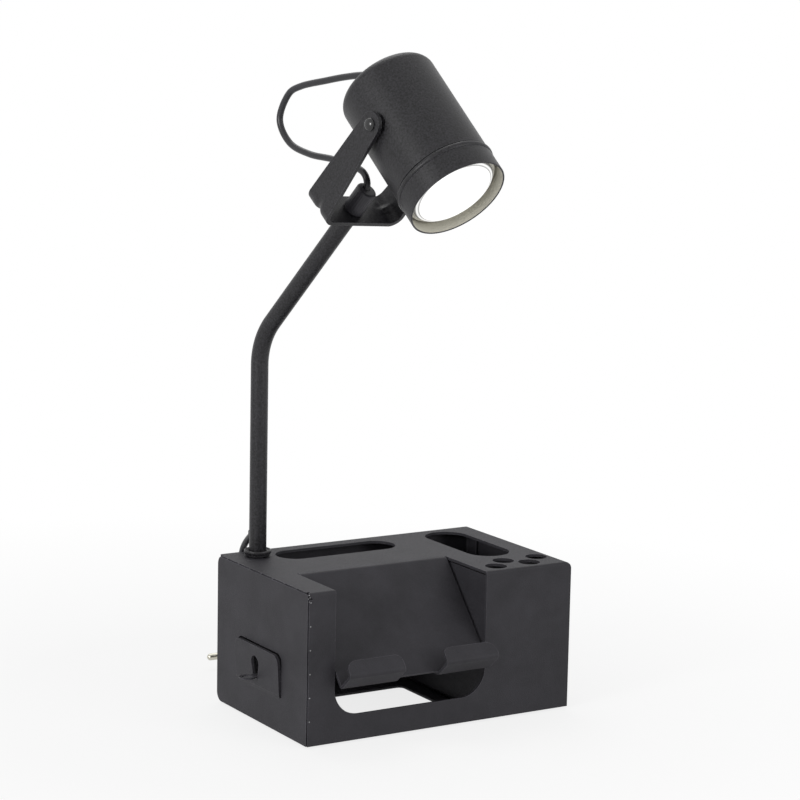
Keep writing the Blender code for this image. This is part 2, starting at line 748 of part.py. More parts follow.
def phone_cradle(look):
    """The sloping tongue with its shelf and two lips, parted by the cable gap."""
    radius = CRADLE_FOLD_RADIUS
    first = math.pi / 2 - CRADLE_LEAN
    edge = radius * math.tan(first / 2)
    corner = radius * math.tan(math.pi / 4)
    back = CRADLE_BACK_LENGTH - edge - corner
    shelf = CRADLE_SHELF - 2 * corner
    lip = CRADLE_LIP - corner
    moves = [
        SHEET - edge + GAP,
        (first, radius),
        back,
        (-math.pi / 2, radius),
        shelf,
        (-math.pi / 2, radius),
        lip,
    ]
    line = bent_line((FRONT + NOTCH_DEPTH - GAP, TOP - SHEET / 2), math.pi, moves)
    end = line[-1, 0]
    x0 = LEFT + WINDOW_FROM_LEFT + CRADLE_MARGIN
    x1 = LEFT + WINDOW_FROM_LEFT + WINDOW_WIDTH - CRADLE_MARGIN
    gap0 = LEFT + WINDOW_FROM_LEFT + CABLE_GAP_FROM_LEFT
    gap1 = gap0 + CABLE_GAP_WIDTH
    gap_start = end - lip - math.pi * radius - shelf
    outline = rounded(
        [
            (0.0, x0, 0.0),
            (end, x0, CRADLE_CORNER_RADIUS),
            (end, gap0, CABLE_GAP_CORNER_RADIUS),
            (gap_start, gap0, CABLE_GAP_CORNER_RADIUS / 2),
            (gap_start, gap1, CABLE_GAP_CORNER_RADIUS / 2),
            (end, gap1, CABLE_GAP_CORNER_RADIUS),
            (end, x1, CRADLE_CORNER_RADIUS),
            (0.0, x1, 0.0),
        ]
    )
    cradle = folded("phone_cradle", [outline], line, lambda p, q, v: (v, p, q), look)
    smooth(cradle)
    return cradle


def feet(look):
    """Four thin pads. The rear left one is centred under the stem's axis."""
    across = BOX_WIDTH - 2 * STEM_FROM_LEFT
    deep = BOX_DEPTH - 2 * STEM_FROM_REAR
    places = {
        "foot_rear_left": (0.0, 0.0),
        "foot_rear_right": (across, 0.0),
        "foot_front_left": (0.0, -deep),
        "foot_front_right": (across, -deep),
    }
    for name, (x, y) in places.items():
        pad = prism([circle(x, y, FOOT_RADIUS, HOLE_STEPS // 2)], "Z", 0.0, FOOT_HEIGHT - GAP)
        smooth(add(name, pad, look))


# The stem and its fastenings


def stem_points(low, high, step=STEM_BEND_STEPS):
    """The stem's axis in its own plane: up from low, round the bend, and on to high past the corner."""
    corner = TOP + STEM_RISE
    setback = STEM_BEND_RADIUS * math.tan(STEM_LEAN / 2)
    points = [(0.0, low)]
    for k in range(step + 1):
        angle = STEM_LEAN * k / step
        reach = STEM_BEND_RADIUS * (1 - math.cos(angle))
        points.append((reach, corner - setback + STEM_BEND_RADIUS * math.sin(angle)))
    for length in high:
        points.append((length * math.sin(STEM_LEAN), corner + length * math.cos(STEM_LEAN)))
    forward = Matrix.Rotation(STEM_TURN, 4, "Z") @ Vector((0.0, -1.0, 0.0))
    return [tuple(forward * reach + Vector((0.0, 0.0, z))) for reach, z in points]


def stem_tube(look):
    """The bent tube, bored through, with a reduced threaded end and a slot where the cord leaves."""
    shoulder = STEM_REACH - YOKE_THICKNESS / 2 - 2 * GAP - SWIVEL_NUT_HEIGHT
    tip = STEM_REACH + YOKE_THICKNESS / 2 + STEM_THREAD_ABOVE_YOKE
    step = STEM_RADIUS - STEM_THREAD_RADIUS
    low = TOP - SHEET - STEM_BELOW_TOP
    points = stem_points(low, [shoulder - step, shoulder, tip])
    radii = [STEM_RADIUS] * (len(points) - 2) + [STEM_THREAD_RADIUS] * 2
    stem = as_mesh(tube("stem_tube", points, STEM_RADIUS, look, resolution=6, radii=radii))
    bore = stem_points(low - OVERRUN, [shoulder, tip + OVERRUN])
    cutter = as_mesh(tube("stem_bore_cutter", bore, STEM_BORE_RADIUS, None, resolution=3), cutter=True)
    boolean(stem, cutter)
    slot = tube("stem_slot_cutter", exit_points(0.0, GROMMET_END + math.radians(25.0), 10), slot_radius(), None)
    boolean(stem, as_mesh(slot, cutter=True))
    smooth(stem)
    return stem


def slot_radius():
    """Radius of the stem's slot: the grommet's outside and a clearance."""
    return CORD_RADIUS + CORD_CLEARANCE + GROMMET_WALL + CORD_CLEARANCE


def exit_points(start, end, steps):
    """The cord's axis where it turns out of the stem, between two angles from the vertical."""
    level = TOP + EXIT_ABOVE_TOP + EXIT_BEND_RADIUS * math.sin(EXIT_ANGLE)
    points = []
    for k in range(steps + 1):
        angle = start + (end - start) * k / steps
        points.append((0.0, EXIT_BEND_RADIUS * (1 - math.cos(angle)), level - EXIT_BEND_RADIUS * math.sin(angle)))
    return points


def stem_grommet(look):
    """The bush round the cord in the stem's slot."""
    points = exit_points(GROMMET_START, GROMMET_END, GROMMET_STEPS)
    outer = CORD_RADIUS + CORD_CLEARANCE + GROMMET_WALL
    bush = as_mesh(tube("stem_grommet", points, outer, look, resolution=3))
    spread = (GROMMET_END - GROMMET_START) / GROMMET_STEPS
    points = exit_points(GROMMET_START - spread, GROMMET_END + spread, GROMMET_STEPS + 2)
    bore = tube("grommet_bore_cutter", points, CORD_RADIUS + CORD_CLEARANCE, None, resolution=3)
    boolean(bush, as_mesh(bore, cutter=True))
    smooth(bush)
    return bush


def nut(name, low, high, radius, bore, look, parent=None, sides=HEX_SIDES):
    """A hexagonal nut about Z."""
    loops = [circle(0.0, 0.0, radius, sides), circle(0.0, 0.0, bore, HOLE_STEPS // 2)]
    return add(name, prism(loops, "Z", low, high), look, parent)


def stem_fastenings(look, bright):
    """The round nut above the top, and the washer and nut below it."""
    bore = STEM_RADIUS + GAP
    low = TOP + GAP
    high = low + COLLAR_HEIGHT
    rim = (COLLAR_RADIUS + bore) / 2
    collar = [
        (COLLAR_RADIUS, high),
        (COLLAR_RADIUS - COLLAR_DISH, (low + high) / 2),
        (COLLAR_RADIUS - COLLAR_DISH, low),
        (bore, low),
        (bore, high - COLLAR_DISH),
        (rim, high - COLLAR_DISH),
    ]
    turned("stem_collar", collar, look)
    high = TOP - SHEET - GAP
    low = high - WASHER_HEIGHT
    turned("stem_washer", [(WASHER_RADIUS, high), (WASHER_RADIUS, low), (bore, low), (bore, high)], bright)
    nut("stem_nut", low - GAP - STEM_NUT_HEIGHT, low - GAP, STEM_NUT_RADIUS, bore, bright)


# The yoke and what it carries, in the yoke's frame: Z along the stem's end, X along the tilt axis


def yoke(look, parent):
    """The U strip with round ends, a hole for each screw and the stem, and a gusset in each bend."""
    bend = YOKE_BEND_RADIUS
    half = YOKE_WIDTH / 2
    arm = YOKE_ARM - bend + half
    base = 2 * (YOKE_OFFSET - bend)
    turn = (-math.pi / 2, bend)
    start = (-YOKE_OFFSET, YOKE_ARM + half)
    line = bent_line(start, -math.pi / 2, [arm, (math.pi / 2, bend), base, (math.pi / 2, bend), arm])
    end = line[-1, 0]
    outline = rounded(
        [(0.0, -half, half * 0.98), (0.0, half, half * 0.98), (end, half, half * 0.98), (end, -half, half * 0.98)],
        HOLE_STEPS // 4,
    )
    screw_hole = TILT_SCREW_RADIUS + TILT_SCREW_CLEARANCE
    loops = [
        outline,
        circle(half, 0.0, screw_hole, HOLE_STEPS // 2),
        circle(end / 2, 0.0, STEM_THREAD_RADIUS + GAP, HOLE_STEPS // 2),
        circle(end - half, 0.0, screw_hole, HOLE_STEPS // 2),
    ]
    strip = folded("yoke", loops, line, lambda p, q, v: (p, v, q), look, parent, YOKE_THICKNESS)
    inner = YOKE_OFFSET - YOKE_THICKNESS / 2
    floor = YOKE_THICKNESS / 2
    outer = YOKE_OFFSET + YOKE_THICKNESS / 2
    sunk = YOKE_THICKNESS / 4
    for side, word in ((-1, "near"), (1, "far")):
        points = [
            (side * (inner + sunk), 0.0, floor + GUSSET_REACH + sunk),
            (side * (inner - GUSSET_REACH - sunk), 0.0, floor - sunk),
        ]
        rib = as_mesh(tube("gusset_rib_" + word, points, GUSSET_RADIUS, None, parent), cutter=True)
        boolean(strip, rib, "UNION")
        points = [
            (side * (outer + sunk), 0.0, -floor + bend + sunk),
            (side * (outer - bend - sunk), 0.0, -floor - sunk),
        ]
        dent = as_mesh(tube("gusset_dent_" + word, points, GUSSET_DENT_RADIUS, None, parent), cutter=True)
        boolean(strip, dent)
    smooth(strip)
    return strip


def cord_grip(look, parent):
    """The round clamp on the stem's threaded end: a threaded bore, a cord bore and a flared mouth."""
    low = YOKE_THICKNESS / 2 + GAP
    high = low + GRIP_LENGTH
    thread = STEM_THREAD_RADIUS + GAP
    depth = low + STEM_THREAD_ABOVE_YOKE
    cord = CORD_RADIUS + CORD_CLEARANCE
    profile = rounded(
        [
            (GRIP_RADIUS, high, GRIP_EDGE_RADIUS / 2),
            (GRIP_RADIUS, low, 0.0),
            (thread, low, 0.0),
            (thread, depth, 0.0),
            (cord, depth, 0.0),
            (cord, high - GRIP_MOUTH_DEPTH, 0.0),
            (GRIP_MOUTH_RADIUS, high, 0.0),
        ],
        3,
    )
    turned("cord_grip", profile, look, parent)


def swivel_nut(look, parent):
    """The thin nut under the yoke. It stays with the stem."""
    high = -YOKE_THICKNESS / 2 - GAP
    nut("stem_swivel_nut", high - SWIVEL_NUT_HEIGHT, high, SWIVEL_NUT_RADIUS, STEM_THREAD_RADIUS + GAP, look, parent)


def tilt_joint(side, word, frame, steel, nylon):
    """One side of the tilt joint: screw through the arm, washer, head wall and nut."""
    seat = bpy.data.objects.new("tilt_seat_" + word, None)
    parts.objects.link(seat)
    seat.parent = frame
    seat.rotation_euler = (0.0, side * math.pi / 2, 0.0)
    clear = TILT_SCREW_RADIUS + TILT_SCREW_CLEARANCE
    inner_wall = HEAD_RADIUS - HEAD_WALL
    nut_face = math.sqrt(inner_wall**2 - TILT_NUT_RADIUS**2) - GAP
    tip = nut_face - TILT_NUT_THICKNESS - GAP
    under_head = YOKE_OFFSET + YOKE_THICKNESS / 2 + GAP
    domed = [(0.0, under_head + TILT_HEAD_HEIGHT)]
    for k in range(1, CORNER_STEPS):
        angle = math.pi / 2 * k / CORNER_STEPS
        domed.append((TILT_HEAD_RADIUS * math.sin(angle), under_head + TILT_HEAD_HEIGHT * math.cos(angle)))
    domed += [(TILT_HEAD_RADIUS, under_head), (TILT_SCREW_RADIUS, under_head), (TILT_SCREW_RADIUS, tip), (0.0, tip)]
    turned("tilt_screw_" + word, domed, steel, seat, HOLE_STEPS // 2)
    low = HEAD_RADIUS + GAP
    high = low + TILT_WASHER_THICKNESS
    washer = [(TILT_WASHER_RADIUS, high), (TILT_WASHER_RADIUS, low), (clear, low), (clear, high)]
    turned("tilt_washer_" + word, washer, nylon, seat, HOLE_STEPS // 2)
    nut("tilt_nut_" + word, nut_face - TILT_NUT_THICKNESS, nut_face, TILT_NUT_RADIUS, clear, steel, seat)


# The head, in its own frame: Z forward along its axis, X along the tilt axis


def head_shell(look, frame):
    """The cylinder with a rounded rear, a hole for the cord's bush and one for each screw."""
    front = HEAD_RIM - RING_LENGTH - GAP
    inner = HEAD_RADIUS - HEAD_WALL
    wall = -HEAD_REAR + HEAD_WALL
    profile = rounded(
        [
            (HEAD_RADIUS, front, 0.0),
            (HEAD_RADIUS, -HEAD_REAR, HEAD_REAR_RADIUS),
            (HEAD_GROMMET_RADIUS + GAP, -HEAD_REAR, 0.0),
            (HEAD_GROMMET_RADIUS + GAP, wall, 0.0),
            (inner, wall, HEAD_REAR_RADIUS - HEAD_WALL),
            (inner, front, 0.0),
        ]
    )
    shell = turned("head_shell", profile, look, frame, HEAD_STEPS)
    hole = circle(0.0, 0.0, TILT_SCREW_RADIUS + TILT_SCREW_CLEARANCE, HOLE_STEPS // 2)
    reach = HEAD_RADIUS + OVERRUN
    cutter = add("head_screw_cutter", prism([hole], "X", -reach, reach), None, frame, cutter=True)
    boolean(shell, cutter)
    return shell


def front_ring(look, frame):
    """The front ring: a rolled bead, a plain band, and a sleeve inside the shell's mouth."""
    rear = HEAD_RIM - RING_LENGTH
    outer = HEAD_RADIUS + RING_PROUD
    bead = HEAD_RADIUS + BEAD_PROUD
    sleeve = HEAD_RADIUS - HEAD_WALL - GAP
    profile = rounded(
        [
            (outer, HEAD_RIM, RING_WALL / 3),
            (outer, rear + BEAD_WIDTH, BEAD_ROUND / 2),
            (bead, rear + BEAD_WIDTH - BEAD_PROUD, BEAD_ROUND),
            (bead, rear, BEAD_ROUND),
            (sleeve, rear, 0.0),
            (sleeve, rear - RING_SLEEVE, 0.0),
            (sleeve - RING_SLEEVE_WALL, rear - RING_SLEEVE, 0.0),
            (sleeve - RING_SLEEVE_WALL, rear + RING_SLEEVE_WALL, 0.0),
            (outer - RING_WALL, rear + 2 * RING_SLEEVE_WALL, 0.0),
            (outer - RING_WALL, HEAD_RIM, RING_WALL / 3),
        ],
        3,
    )
    turned("front_ring", profile, look, frame, HEAD_STEPS)


def lamp(white, glass, brass, ceramic, frame):
    """The reflector lamp with its lens and two pins, in its holder."""
    face = HEAD_RIM - LAMP_RECESS
    rim = face - LAMP_RIM_HEIGHT
    body = [
        (0.0, face),
        (LAMP_RADIUS, face),
        (LAMP_RADIUS, rim),
        (LAMP_MIDDLE_RADIUS, LAMP_MIDDLE),
        (LAMP_SHOULDER_RADIUS, LAMP_SHOULDER),
        (LAMP_NECK_RADIUS, LAMP_NECK_TOP),
        (LAMP_NECK_RADIUS, -LAMP_BASE),
        (0.0, -LAMP_BASE),
    ]
    turned("lamp_body", body, white, frame, HEAD_STEPS)
    low = face + GAP
    dome = [(0.0, low + LENS_EDGE + LENS_DOME)]
    for k in range(1, CORNER_STEPS + 1):
        angle = math.pi / 2 * k / CORNER_STEPS
        dome.append((LENS_RADIUS * math.sin(angle), low + LENS_EDGE + LENS_DOME * math.cos(angle)))
    dome += [(LENS_RADIUS, low), (0.0, low)]
    turned("lamp_lens", dome, glass, frame, HEAD_STEPS)
    top = -LAMP_BASE - GAP
    tip = top - PIN_LENGTH
    pin = [
        (0.0, top),
        (PIN_NECK_RADIUS, top),
        (PIN_NECK_RADIUS, tip + PIN_FOOT),
        (PIN_RADIUS, tip + PIN_FOOT),
        (PIN_RADIUS, tip),
        (0.0, tip),
    ]
    holder_top = LAMP_NECK_TOP - HOLDER_CUP_DEPTH
    rear = -HEAD_REAR + HEAD_WALL + GAP
    cup = LAMP_NECK_RADIUS + GAP
    cup_floor = -LAMP_BASE - HOLDER_FLOOR_CLEARANCE
    holder = [
        (HOLDER_RADIUS, holder_top),
        (HOLDER_RADIUS, rear + HOLDER_FLOOR_CLEARANCE),
        (HOLDER_RADIUS - HOLDER_FLOOR_CLEARANCE, rear),
        (0.0, rear),
        (0.0, cup_floor),
        (cup, cup_floor),
        (cup, holder_top),
    ]
    socket = turned("lampholder", holder[4:] + holder[:4], ceramic, frame)
    socket.rotation_euler = (0.0, 0.0, math.pi / HOLE_STEPS)
    for k, side in enumerate((-1, 1)):
        piece = turned(f"lamp_pin_{k + 1}", pin, brass, frame, HOLE_STEPS // 4)
        piece.location = (0.0, side * PIN_SPREAD, 0.0)
        hole = circle(0.0, side * PIN_SPREAD, PIN_RADIUS + PIN_HOLE_CLEARANCE, HOLE_STEPS // 4)
        drill = prism([hole], "Z", tip - PIN_HOLE_CLEARANCE, cup_floor + OVERRUN)
        boolean(socket, add(f"pin_hole_cutter_{k + 1}", drill, None, frame, cutter=True))


def head_grommet(look, frame):
    """The bush in the head's rear: a flange outside, and a stub through the wall."""
    rear = -HEAD_REAR
    bore = CORD_RADIUS + CORD_CLEARANCE
    profile = [
        (HEAD_GROMMET_RADIUS, rear + HEAD_WALL),
        (HEAD_GROMMET_RADIUS, rear - GAP),
        (HEAD_GROMMET_FLANGE, rear - GAP),
        (HEAD_GROMMET_RADIUS, rear - GAP - HEAD_GROMMET_PROUD),
        (bore, rear - GAP - HEAD_GROMMET_PROUD),
        (bore, rear + HEAD_WALL),
    ]
    turned("head_grommet", profile, look, frame)


# The cord

# Routes as offsets from the places that the cord joins: x, y, z

HEAD_CORD_FROM_GRIP = [
    (0.0, 0.0, -0.0059),
    (0.0, 0.0001, -0.0034),
    (0.0, 0.0021, 0.0017),
    (0.0, 0.0072, 0.0039),
    (0.0, 0.0140, 0.0019),
    (0.0, 0.0298, -0.0077),
    (0.0, 0.0445, -0.0185),
    (0.0, 0.0600, -0.0255),
    (0.0, 0.0746, -0.0227),
    (0.0, 0.0795, -0.0091),
    (0.0, 0.0755, 0.0013),
    (0.0, 0.0637, 0.0166),
]
HEAD_CORD_TO_HEAD = [
    (0.0, -0.0184, -0.0264),
    (0.0, -0.0078, -0.0173),
    (0.0, -0.0021, -0.0099),
    (0.0, -0.0001, -0.0040),
    (0.0, 0.0, -0.0015),
    (0.0, 0.0, 0.0011),
]
DROP_FROM_STEM = [
    (0.0, 0.0003, -0.0003),
    (0.0, 0.0050, -0.0040),
    (0.0, 0.0082, -0.0068),
    (0.0, 0.0111, -0.0101),
    (0.0, 0.0130, -0.0137),
    (0.0, 0.0142, -0.0185),
    (0.0, 0.0145, -0.0250),
]
DROP_TO_SWITCH = [
    (-0.0270, -0.0067, 0.0420),
    (-0.0270, -0.0067, 0.0280),
    (-0.0265, -0.0067, 0.0190),
    (-0.0239, -0.0064, 0.0109),
    (-0.0193, -0.0055, 0.0048),
    (-0.0135, -0.0037, 0.0012),
    (-0.0075, -0.0016, 0.0001),
    (-0.0025, -0.0002, 0.0),
    (0.0012, 0.0, 0.0),
    (0.0047, 0.0, 0.0),
]
LEAD_FROM_SWITCH = [
    (-0.0047, 0.0, 0.0),
    (-0.0005, 0.0, 0.0),
    (0.0055, -0.0007, -0.0008),
    (0.0135, -0.0031, -0.0028),
]
LEAD_TO_COIL = [
    (-0.0110, 0.0004, 0.0),
    (-0.0043, 0.0, 0.0),
    (-0.0003, 0.0, 0.0),
]
END_FROM_COIL = [
    (0.0003, 0.0, 0.0),
    (0.0064, 0.0, 0.0),
    (0.0144, 0.0014, -0.0017),
    (0.0229, 0.0072, -0.0060),
    (0.0284, 0.0156, -0.0105),
    (0.0307, 0.0266, -0.0131),
    (0.0274, 0.0396, -0.0133),
    (0.0194, 0.0521, -0.0134),
    (0.0064, 0.0601, -0.0134),
]
END_TO_PLUG = [
    (0.0310, 0.0140, -0.0046),
    (0.0190, 0.0095, -0.0031),
    (0.0110, 0.0040, -0.0012),
    (0.0040, 0.0007, -0.0001),
    (-0.0040, 0.0, 0.0),
    (-0.0200, 0.0, 0.0),
]


def beside(place, offsets):
    """The route's points beside a place."""
    return [tuple(np.add(place, offset)) for offset in offsets]


def coil_points():
    """The coil's axis: it winds in and out in layers, climbing one layer in each reversing half turn."""
    full = 2 * math.pi * COIL_TURNS_PER_LAYER
    count = round(COIL_TURNS_PER_LAYER * COIL_LAYERS * COIL_POINTS_PER_TURN)
    theta = np.linspace(0.0, full * COIL_LAYERS, count + 1)
    wave = theta / full
    inward = 1 - np.abs(wave % 2 - 1)
    radius = COIL_OUTER_RADIUS - COIL_PITCH * COIL_TURNS_PER_LAYER * inward
    climb = np.zeros_like(theta)
    for layer in range(1, COIL_LAYERS):
        climb += np.clip((theta - layer * full) / math.pi + 0.5, 0.0, 1.0)
    bottom = CORD_RADIUS + TIE_THICKNESS + GAP
    angle = theta - math.pi / 2
    x = COIL_CENTRE_X + radius * np.cos(angle)
    y = COIL_CENTRE_Y + radius * np.sin(angle)
    coil = np.column_stack([x, y, bottom + COIL_PITCH * climb])
    lead = np.array([2 * CORD_RADIUS, 0.0, 0.0])
    return np.vstack([coil[:1] - lead, coil, coil[-1:] + lead])


def coil_gap(points):
    """The least distance between two stretches of the coil, less its diameter."""
    least = 1.0
    apart = COIL_POINTS_PER_TURN // 2
    for k in range(len(points) - apart):
        start, end = points[k], points[k + 1]
        along = end - start
        rest = points[k + apart :]
        share = np.clip((rest - start) @ along / (along @ along), 0.0, 1.0)
        least = min(least, np.linalg.norm(rest - start - share[:, None] * along, axis=1).min())
    return least - 2 * CORD_RADIUS


def length_of(points):
    """The length of a line of points."""
    return float(np.linalg.norm(np.diff(np.array(points), axis=0), axis=1).sum())


def cords(look, yoke_frame):
    """The cord in the stem, its loop to the head, and the mains cord with its coil."""
    fine = 2.2 * CORD_RADIUS
    shown = exit_points(EXIT_ANGLE, 0.0, 6)
    split = YOKE_THICKNESS / 2 + STEM_THREAD_ABOVE_YOKE + 2 * GAP
    above = stem_points(shown[-1][2] + STEM_RADIUS, [STEM_REACH / 2, STEM_REACH + split])
    tube("stem_cord", shown + above, CORD_RADIUS, look)

    grip_top = (0.0, 0.0, YOKE_THICKNESS / 2 + GAP + GRIP_LENGTH)
    tilt = Matrix.Translation((0.0, 0.0, YOKE_ARM)) @ Matrix.Rotation(HEAD_TILT, 4, "X")
    to_head = [tuple(tilt @ Vector(p)) for p in beside((0.0, 0.0, -HEAD_REAR), HEAD_CORD_TO_HEAD)]
    loop = [(0.0, 0.0, split + GAP), *beside(grip_top, HEAD_CORD_FROM_GRIP), *to_head]
    loop = smooth_route(loop, fine)
    tube("head_cord", loop, CORD_RADIUS, look, yoke_frame)

    middle = SWITCH_HEIGHT / 2
    switch_in = (SWITCH_START, SWITCH_Y, middle)
    switch_out = (SWITCH_START + SWITCH_LENGTH, SWITCH_Y, middle)
    coil = coil_points()
    drop = smooth_route(beside(shown[0], DROP_FROM_STEM) + beside(switch_in, DROP_TO_SWITCH), fine)
    lead = smooth_route(beside(switch_out, LEAD_FROM_SWITCH) + beside(coil[0], LEAD_TO_COIL), fine)
    plug_entry = (PLUG_ENTRY_X, PLUG_Y, PLUG_HEIGHT / 2)
    end = smooth_route(beside(coil[-1], END_FROM_COIL) + beside(plug_entry, END_TO_PLUG), fine)
    tube("mains_cord_drop", drop, CORD_RADIUS, look)
    tube("mains_cord_lead", lead, CORD_RADIUS, look)
    tube("mains_cord_coil", coil, CORD_RADIUS, look, resolution=COIL_SIDES_RESOLUTION)
    tube("mains_cord_end", end, CORD_RADIUS, look)
    print("coil's least gap to itself, mm:", round(1000 * coil_gap(coil), 3))
    whole = sum(length_of(p) for p in (drop, lead, coil, end)) + lead[0][0] - drop[-1][0]
    print("mains cord from the stem to the plug, mm:", round(1000 * whole, 1))
    print("head cord, mm:", round(1000 * length_of(loop), 1))


def coil_ties(look):
    """Two flat ties round the coil's section."""
    inner = COIL_OUTER_RADIUS - COIL_PITCH * COIL_TURNS_PER_LAYER - CORD_RADIUS - GAP
    outer = COIL_OUTER_RADIUS + CORD_RADIUS + GAP
    high = TIE_THICKNESS + 2 * GAP + 2 * CORD_RADIUS + COIL_PITCH * (COIL_LAYERS - 1)
    t = TIE_THICKNESS
    for name, turn in (("coil_tie_1", math.radians(100.0)), ("coil_tie_2", math.radians(-35.0))):
        loops = [
            rectangle(inner - t, 0.0, outer + t, high + t, TIE_CORNER_RADIUS),
            rectangle(inner, t, outer, high, TIE_CORNER_RADIUS - t),
        ]
        tie = add(name, prism(loops, "Y", -TIE_WIDTH / 2, TIE_WIDTH / 2), look)
        tie.location = (COIL_CENTRE_X, COIL_CENTRE_Y, 0.0)
        tie.rotation_euler = (0.0, 0.0, turn)


def line_switch(look, rocker_look):
    """The in-line switch: two half shells on the cord, and a rocker between them."""
    x0, x1 = SWITCH_START, SWITCH_START + SWITCH_LENGTH
    y0, y1 = SWITCH_Y - SWITCH_WIDTH / 2, SWITCH_Y + SWITCH_WIDTH / 2
    middle = SWITCH_HEIGHT / 2
    centre = (x0 + x1) / 2
    pivot = SWITCH_HEIGHT - ROCKER_PIVOT_BELOW_TOP
    outline = rectangle(x0, y0, x1, y1, SWITCH_CORNER_RADIUS)
    well_half = ROCKER_RADIUS + GAP
    wide = ROCKER_WIDTH / 2 + GAP
    well = [(centre - well_half, SWITCH_HEIGHT + OVERRUN)]
    for k in range(HOLE_STEPS // 2 + 1):
        angle = math.pi + math.pi * k / (HOLE_STEPS // 2)
        well.append((centre + well_half * math.cos(angle), pivot + well_half * math.sin(angle)))
    well.append((centre + well_half, SWITCH_HEIGHT + OVERRUN))
    well_cutter = add("rocker_well_cutter", prism([well], "Y", SWITCH_Y - wide, SWITCH_Y + wide), None, cutter=True)
    socket = CORD_RADIUS + CORD_CLEARANCE
    sockets = []
    for start in (x0 - OVERRUN, x1 - CORD_SOCKET_DEPTH):
        bore = prism([circle(SWITCH_Y, middle, socket, HOLE_STEPS // 2)], "X", start, start + CORD_SOCKET_DEPTH + OVERRUN)
        sockets.append(add("cord_socket_cutter", bore, None, cutter=True))
    for name, low, high in (
        ("switch_lower", 0.0, middle - GAP / 2),
        ("switch_upper", middle + GAP / 2, SWITCH_HEIGHT),
    ):
        shell = add(name, prism([outline], "Z", low, high), look)
        boolean(shell, well_cutter)
        for cutter in sockets:
            boolean(shell, cutter)
    top = [
        (ROCKER_RADIUS, 0.0),
        (ROCKER_RADIUS - ROCKER_END_INSET, ROCKER_END_RISE),
        (0.0, ROCKER_CENTRE_RISE),
        (ROCKER_END_INSET - ROCKER_RADIUS, ROCKER_END_RISE),
    ]
    for k in range(HOLE_STEPS // 2):
        angle = math.pi + math.pi * k / (HOLE_STEPS // 2)
        top.append((ROCKER_RADIUS * math.cos(angle), ROCKER_RADIUS * math.sin(angle)))
    axis = bpy.data.objects.new("rocker_axis", None)
    parts.objects.link(axis)
    axis.location = (centre, SWITCH_Y, pivot)
    axis.rotation_euler = (0.0, -ROCKER_TILT, 0.0)
    add("switch_rocker", prism([top], "Y", -ROCKER_WIDTH / 2, ROCKER_WIDTH / 2), rocker_look, axis)


def plug(look, metal):
    """The flat two-pin plug, with a tapered strain relief."""
    middle = PLUG_HEIGHT / 2
    start = PLUG_ENTRY_X - RELIEF_LENGTH - GAP
    shoulder = start - PLUG_LENGTH / 3
    nose = start - PLUG_LENGTH
    outline = rounded(
        [
            (start, PLUG_Y - PLUG_TAIL_WIDTH / 2, PLUG_EDGE),
            (start, PLUG_Y + PLUG_TAIL_WIDTH / 2, PLUG_EDGE),
            (shoulder, PLUG_Y + PLUG_WIDTH / 2, 3 * PLUG_EDGE),
            (nose, PLUG_Y + PLUG_NOSE_WIDTH / 2, PLUG_EDGE),
            (nose, PLUG_Y - PLUG_NOSE_WIDTH / 2, PLUG_EDGE),
            (shoulder, PLUG_Y - PLUG_WIDTH / 2, 3 * PLUG_EDGE),
        ],
        3,
    )
    add("plug_body", prism([outline], "Z", 0.0, PLUG_HEIGHT), look)
    for k, side in enumerate((-1, 1)):
        y = PLUG_Y + side * PLUG_PIN_SPREAD
        pin = prism([circle(y, middle, PLUG_PIN_RADIUS, 12)], "X", nose - GAP - PLUG_PIN_LENGTH, nose - GAP)
        smooth(add(f"plug_pin_{k + 1}", pin, metal))
    bore = CORD_RADIUS + CORD_CLEARANCE
    profile = [(RELIEF_SLIM_RADIUS, RELIEF_LENGTH), (RELIEF_WIDE_RADIUS, 0.0), (bore, 0.0), (bore, RELIEF_LENGTH)]
    relief = turned("plug_relief", profile, look, None, HOLE_STEPS // 2)
    relief.location = (start + GAP, PLUG_Y, middle)
    relief.rotation_euler = (0.0, math.pi / 2, 0.0)


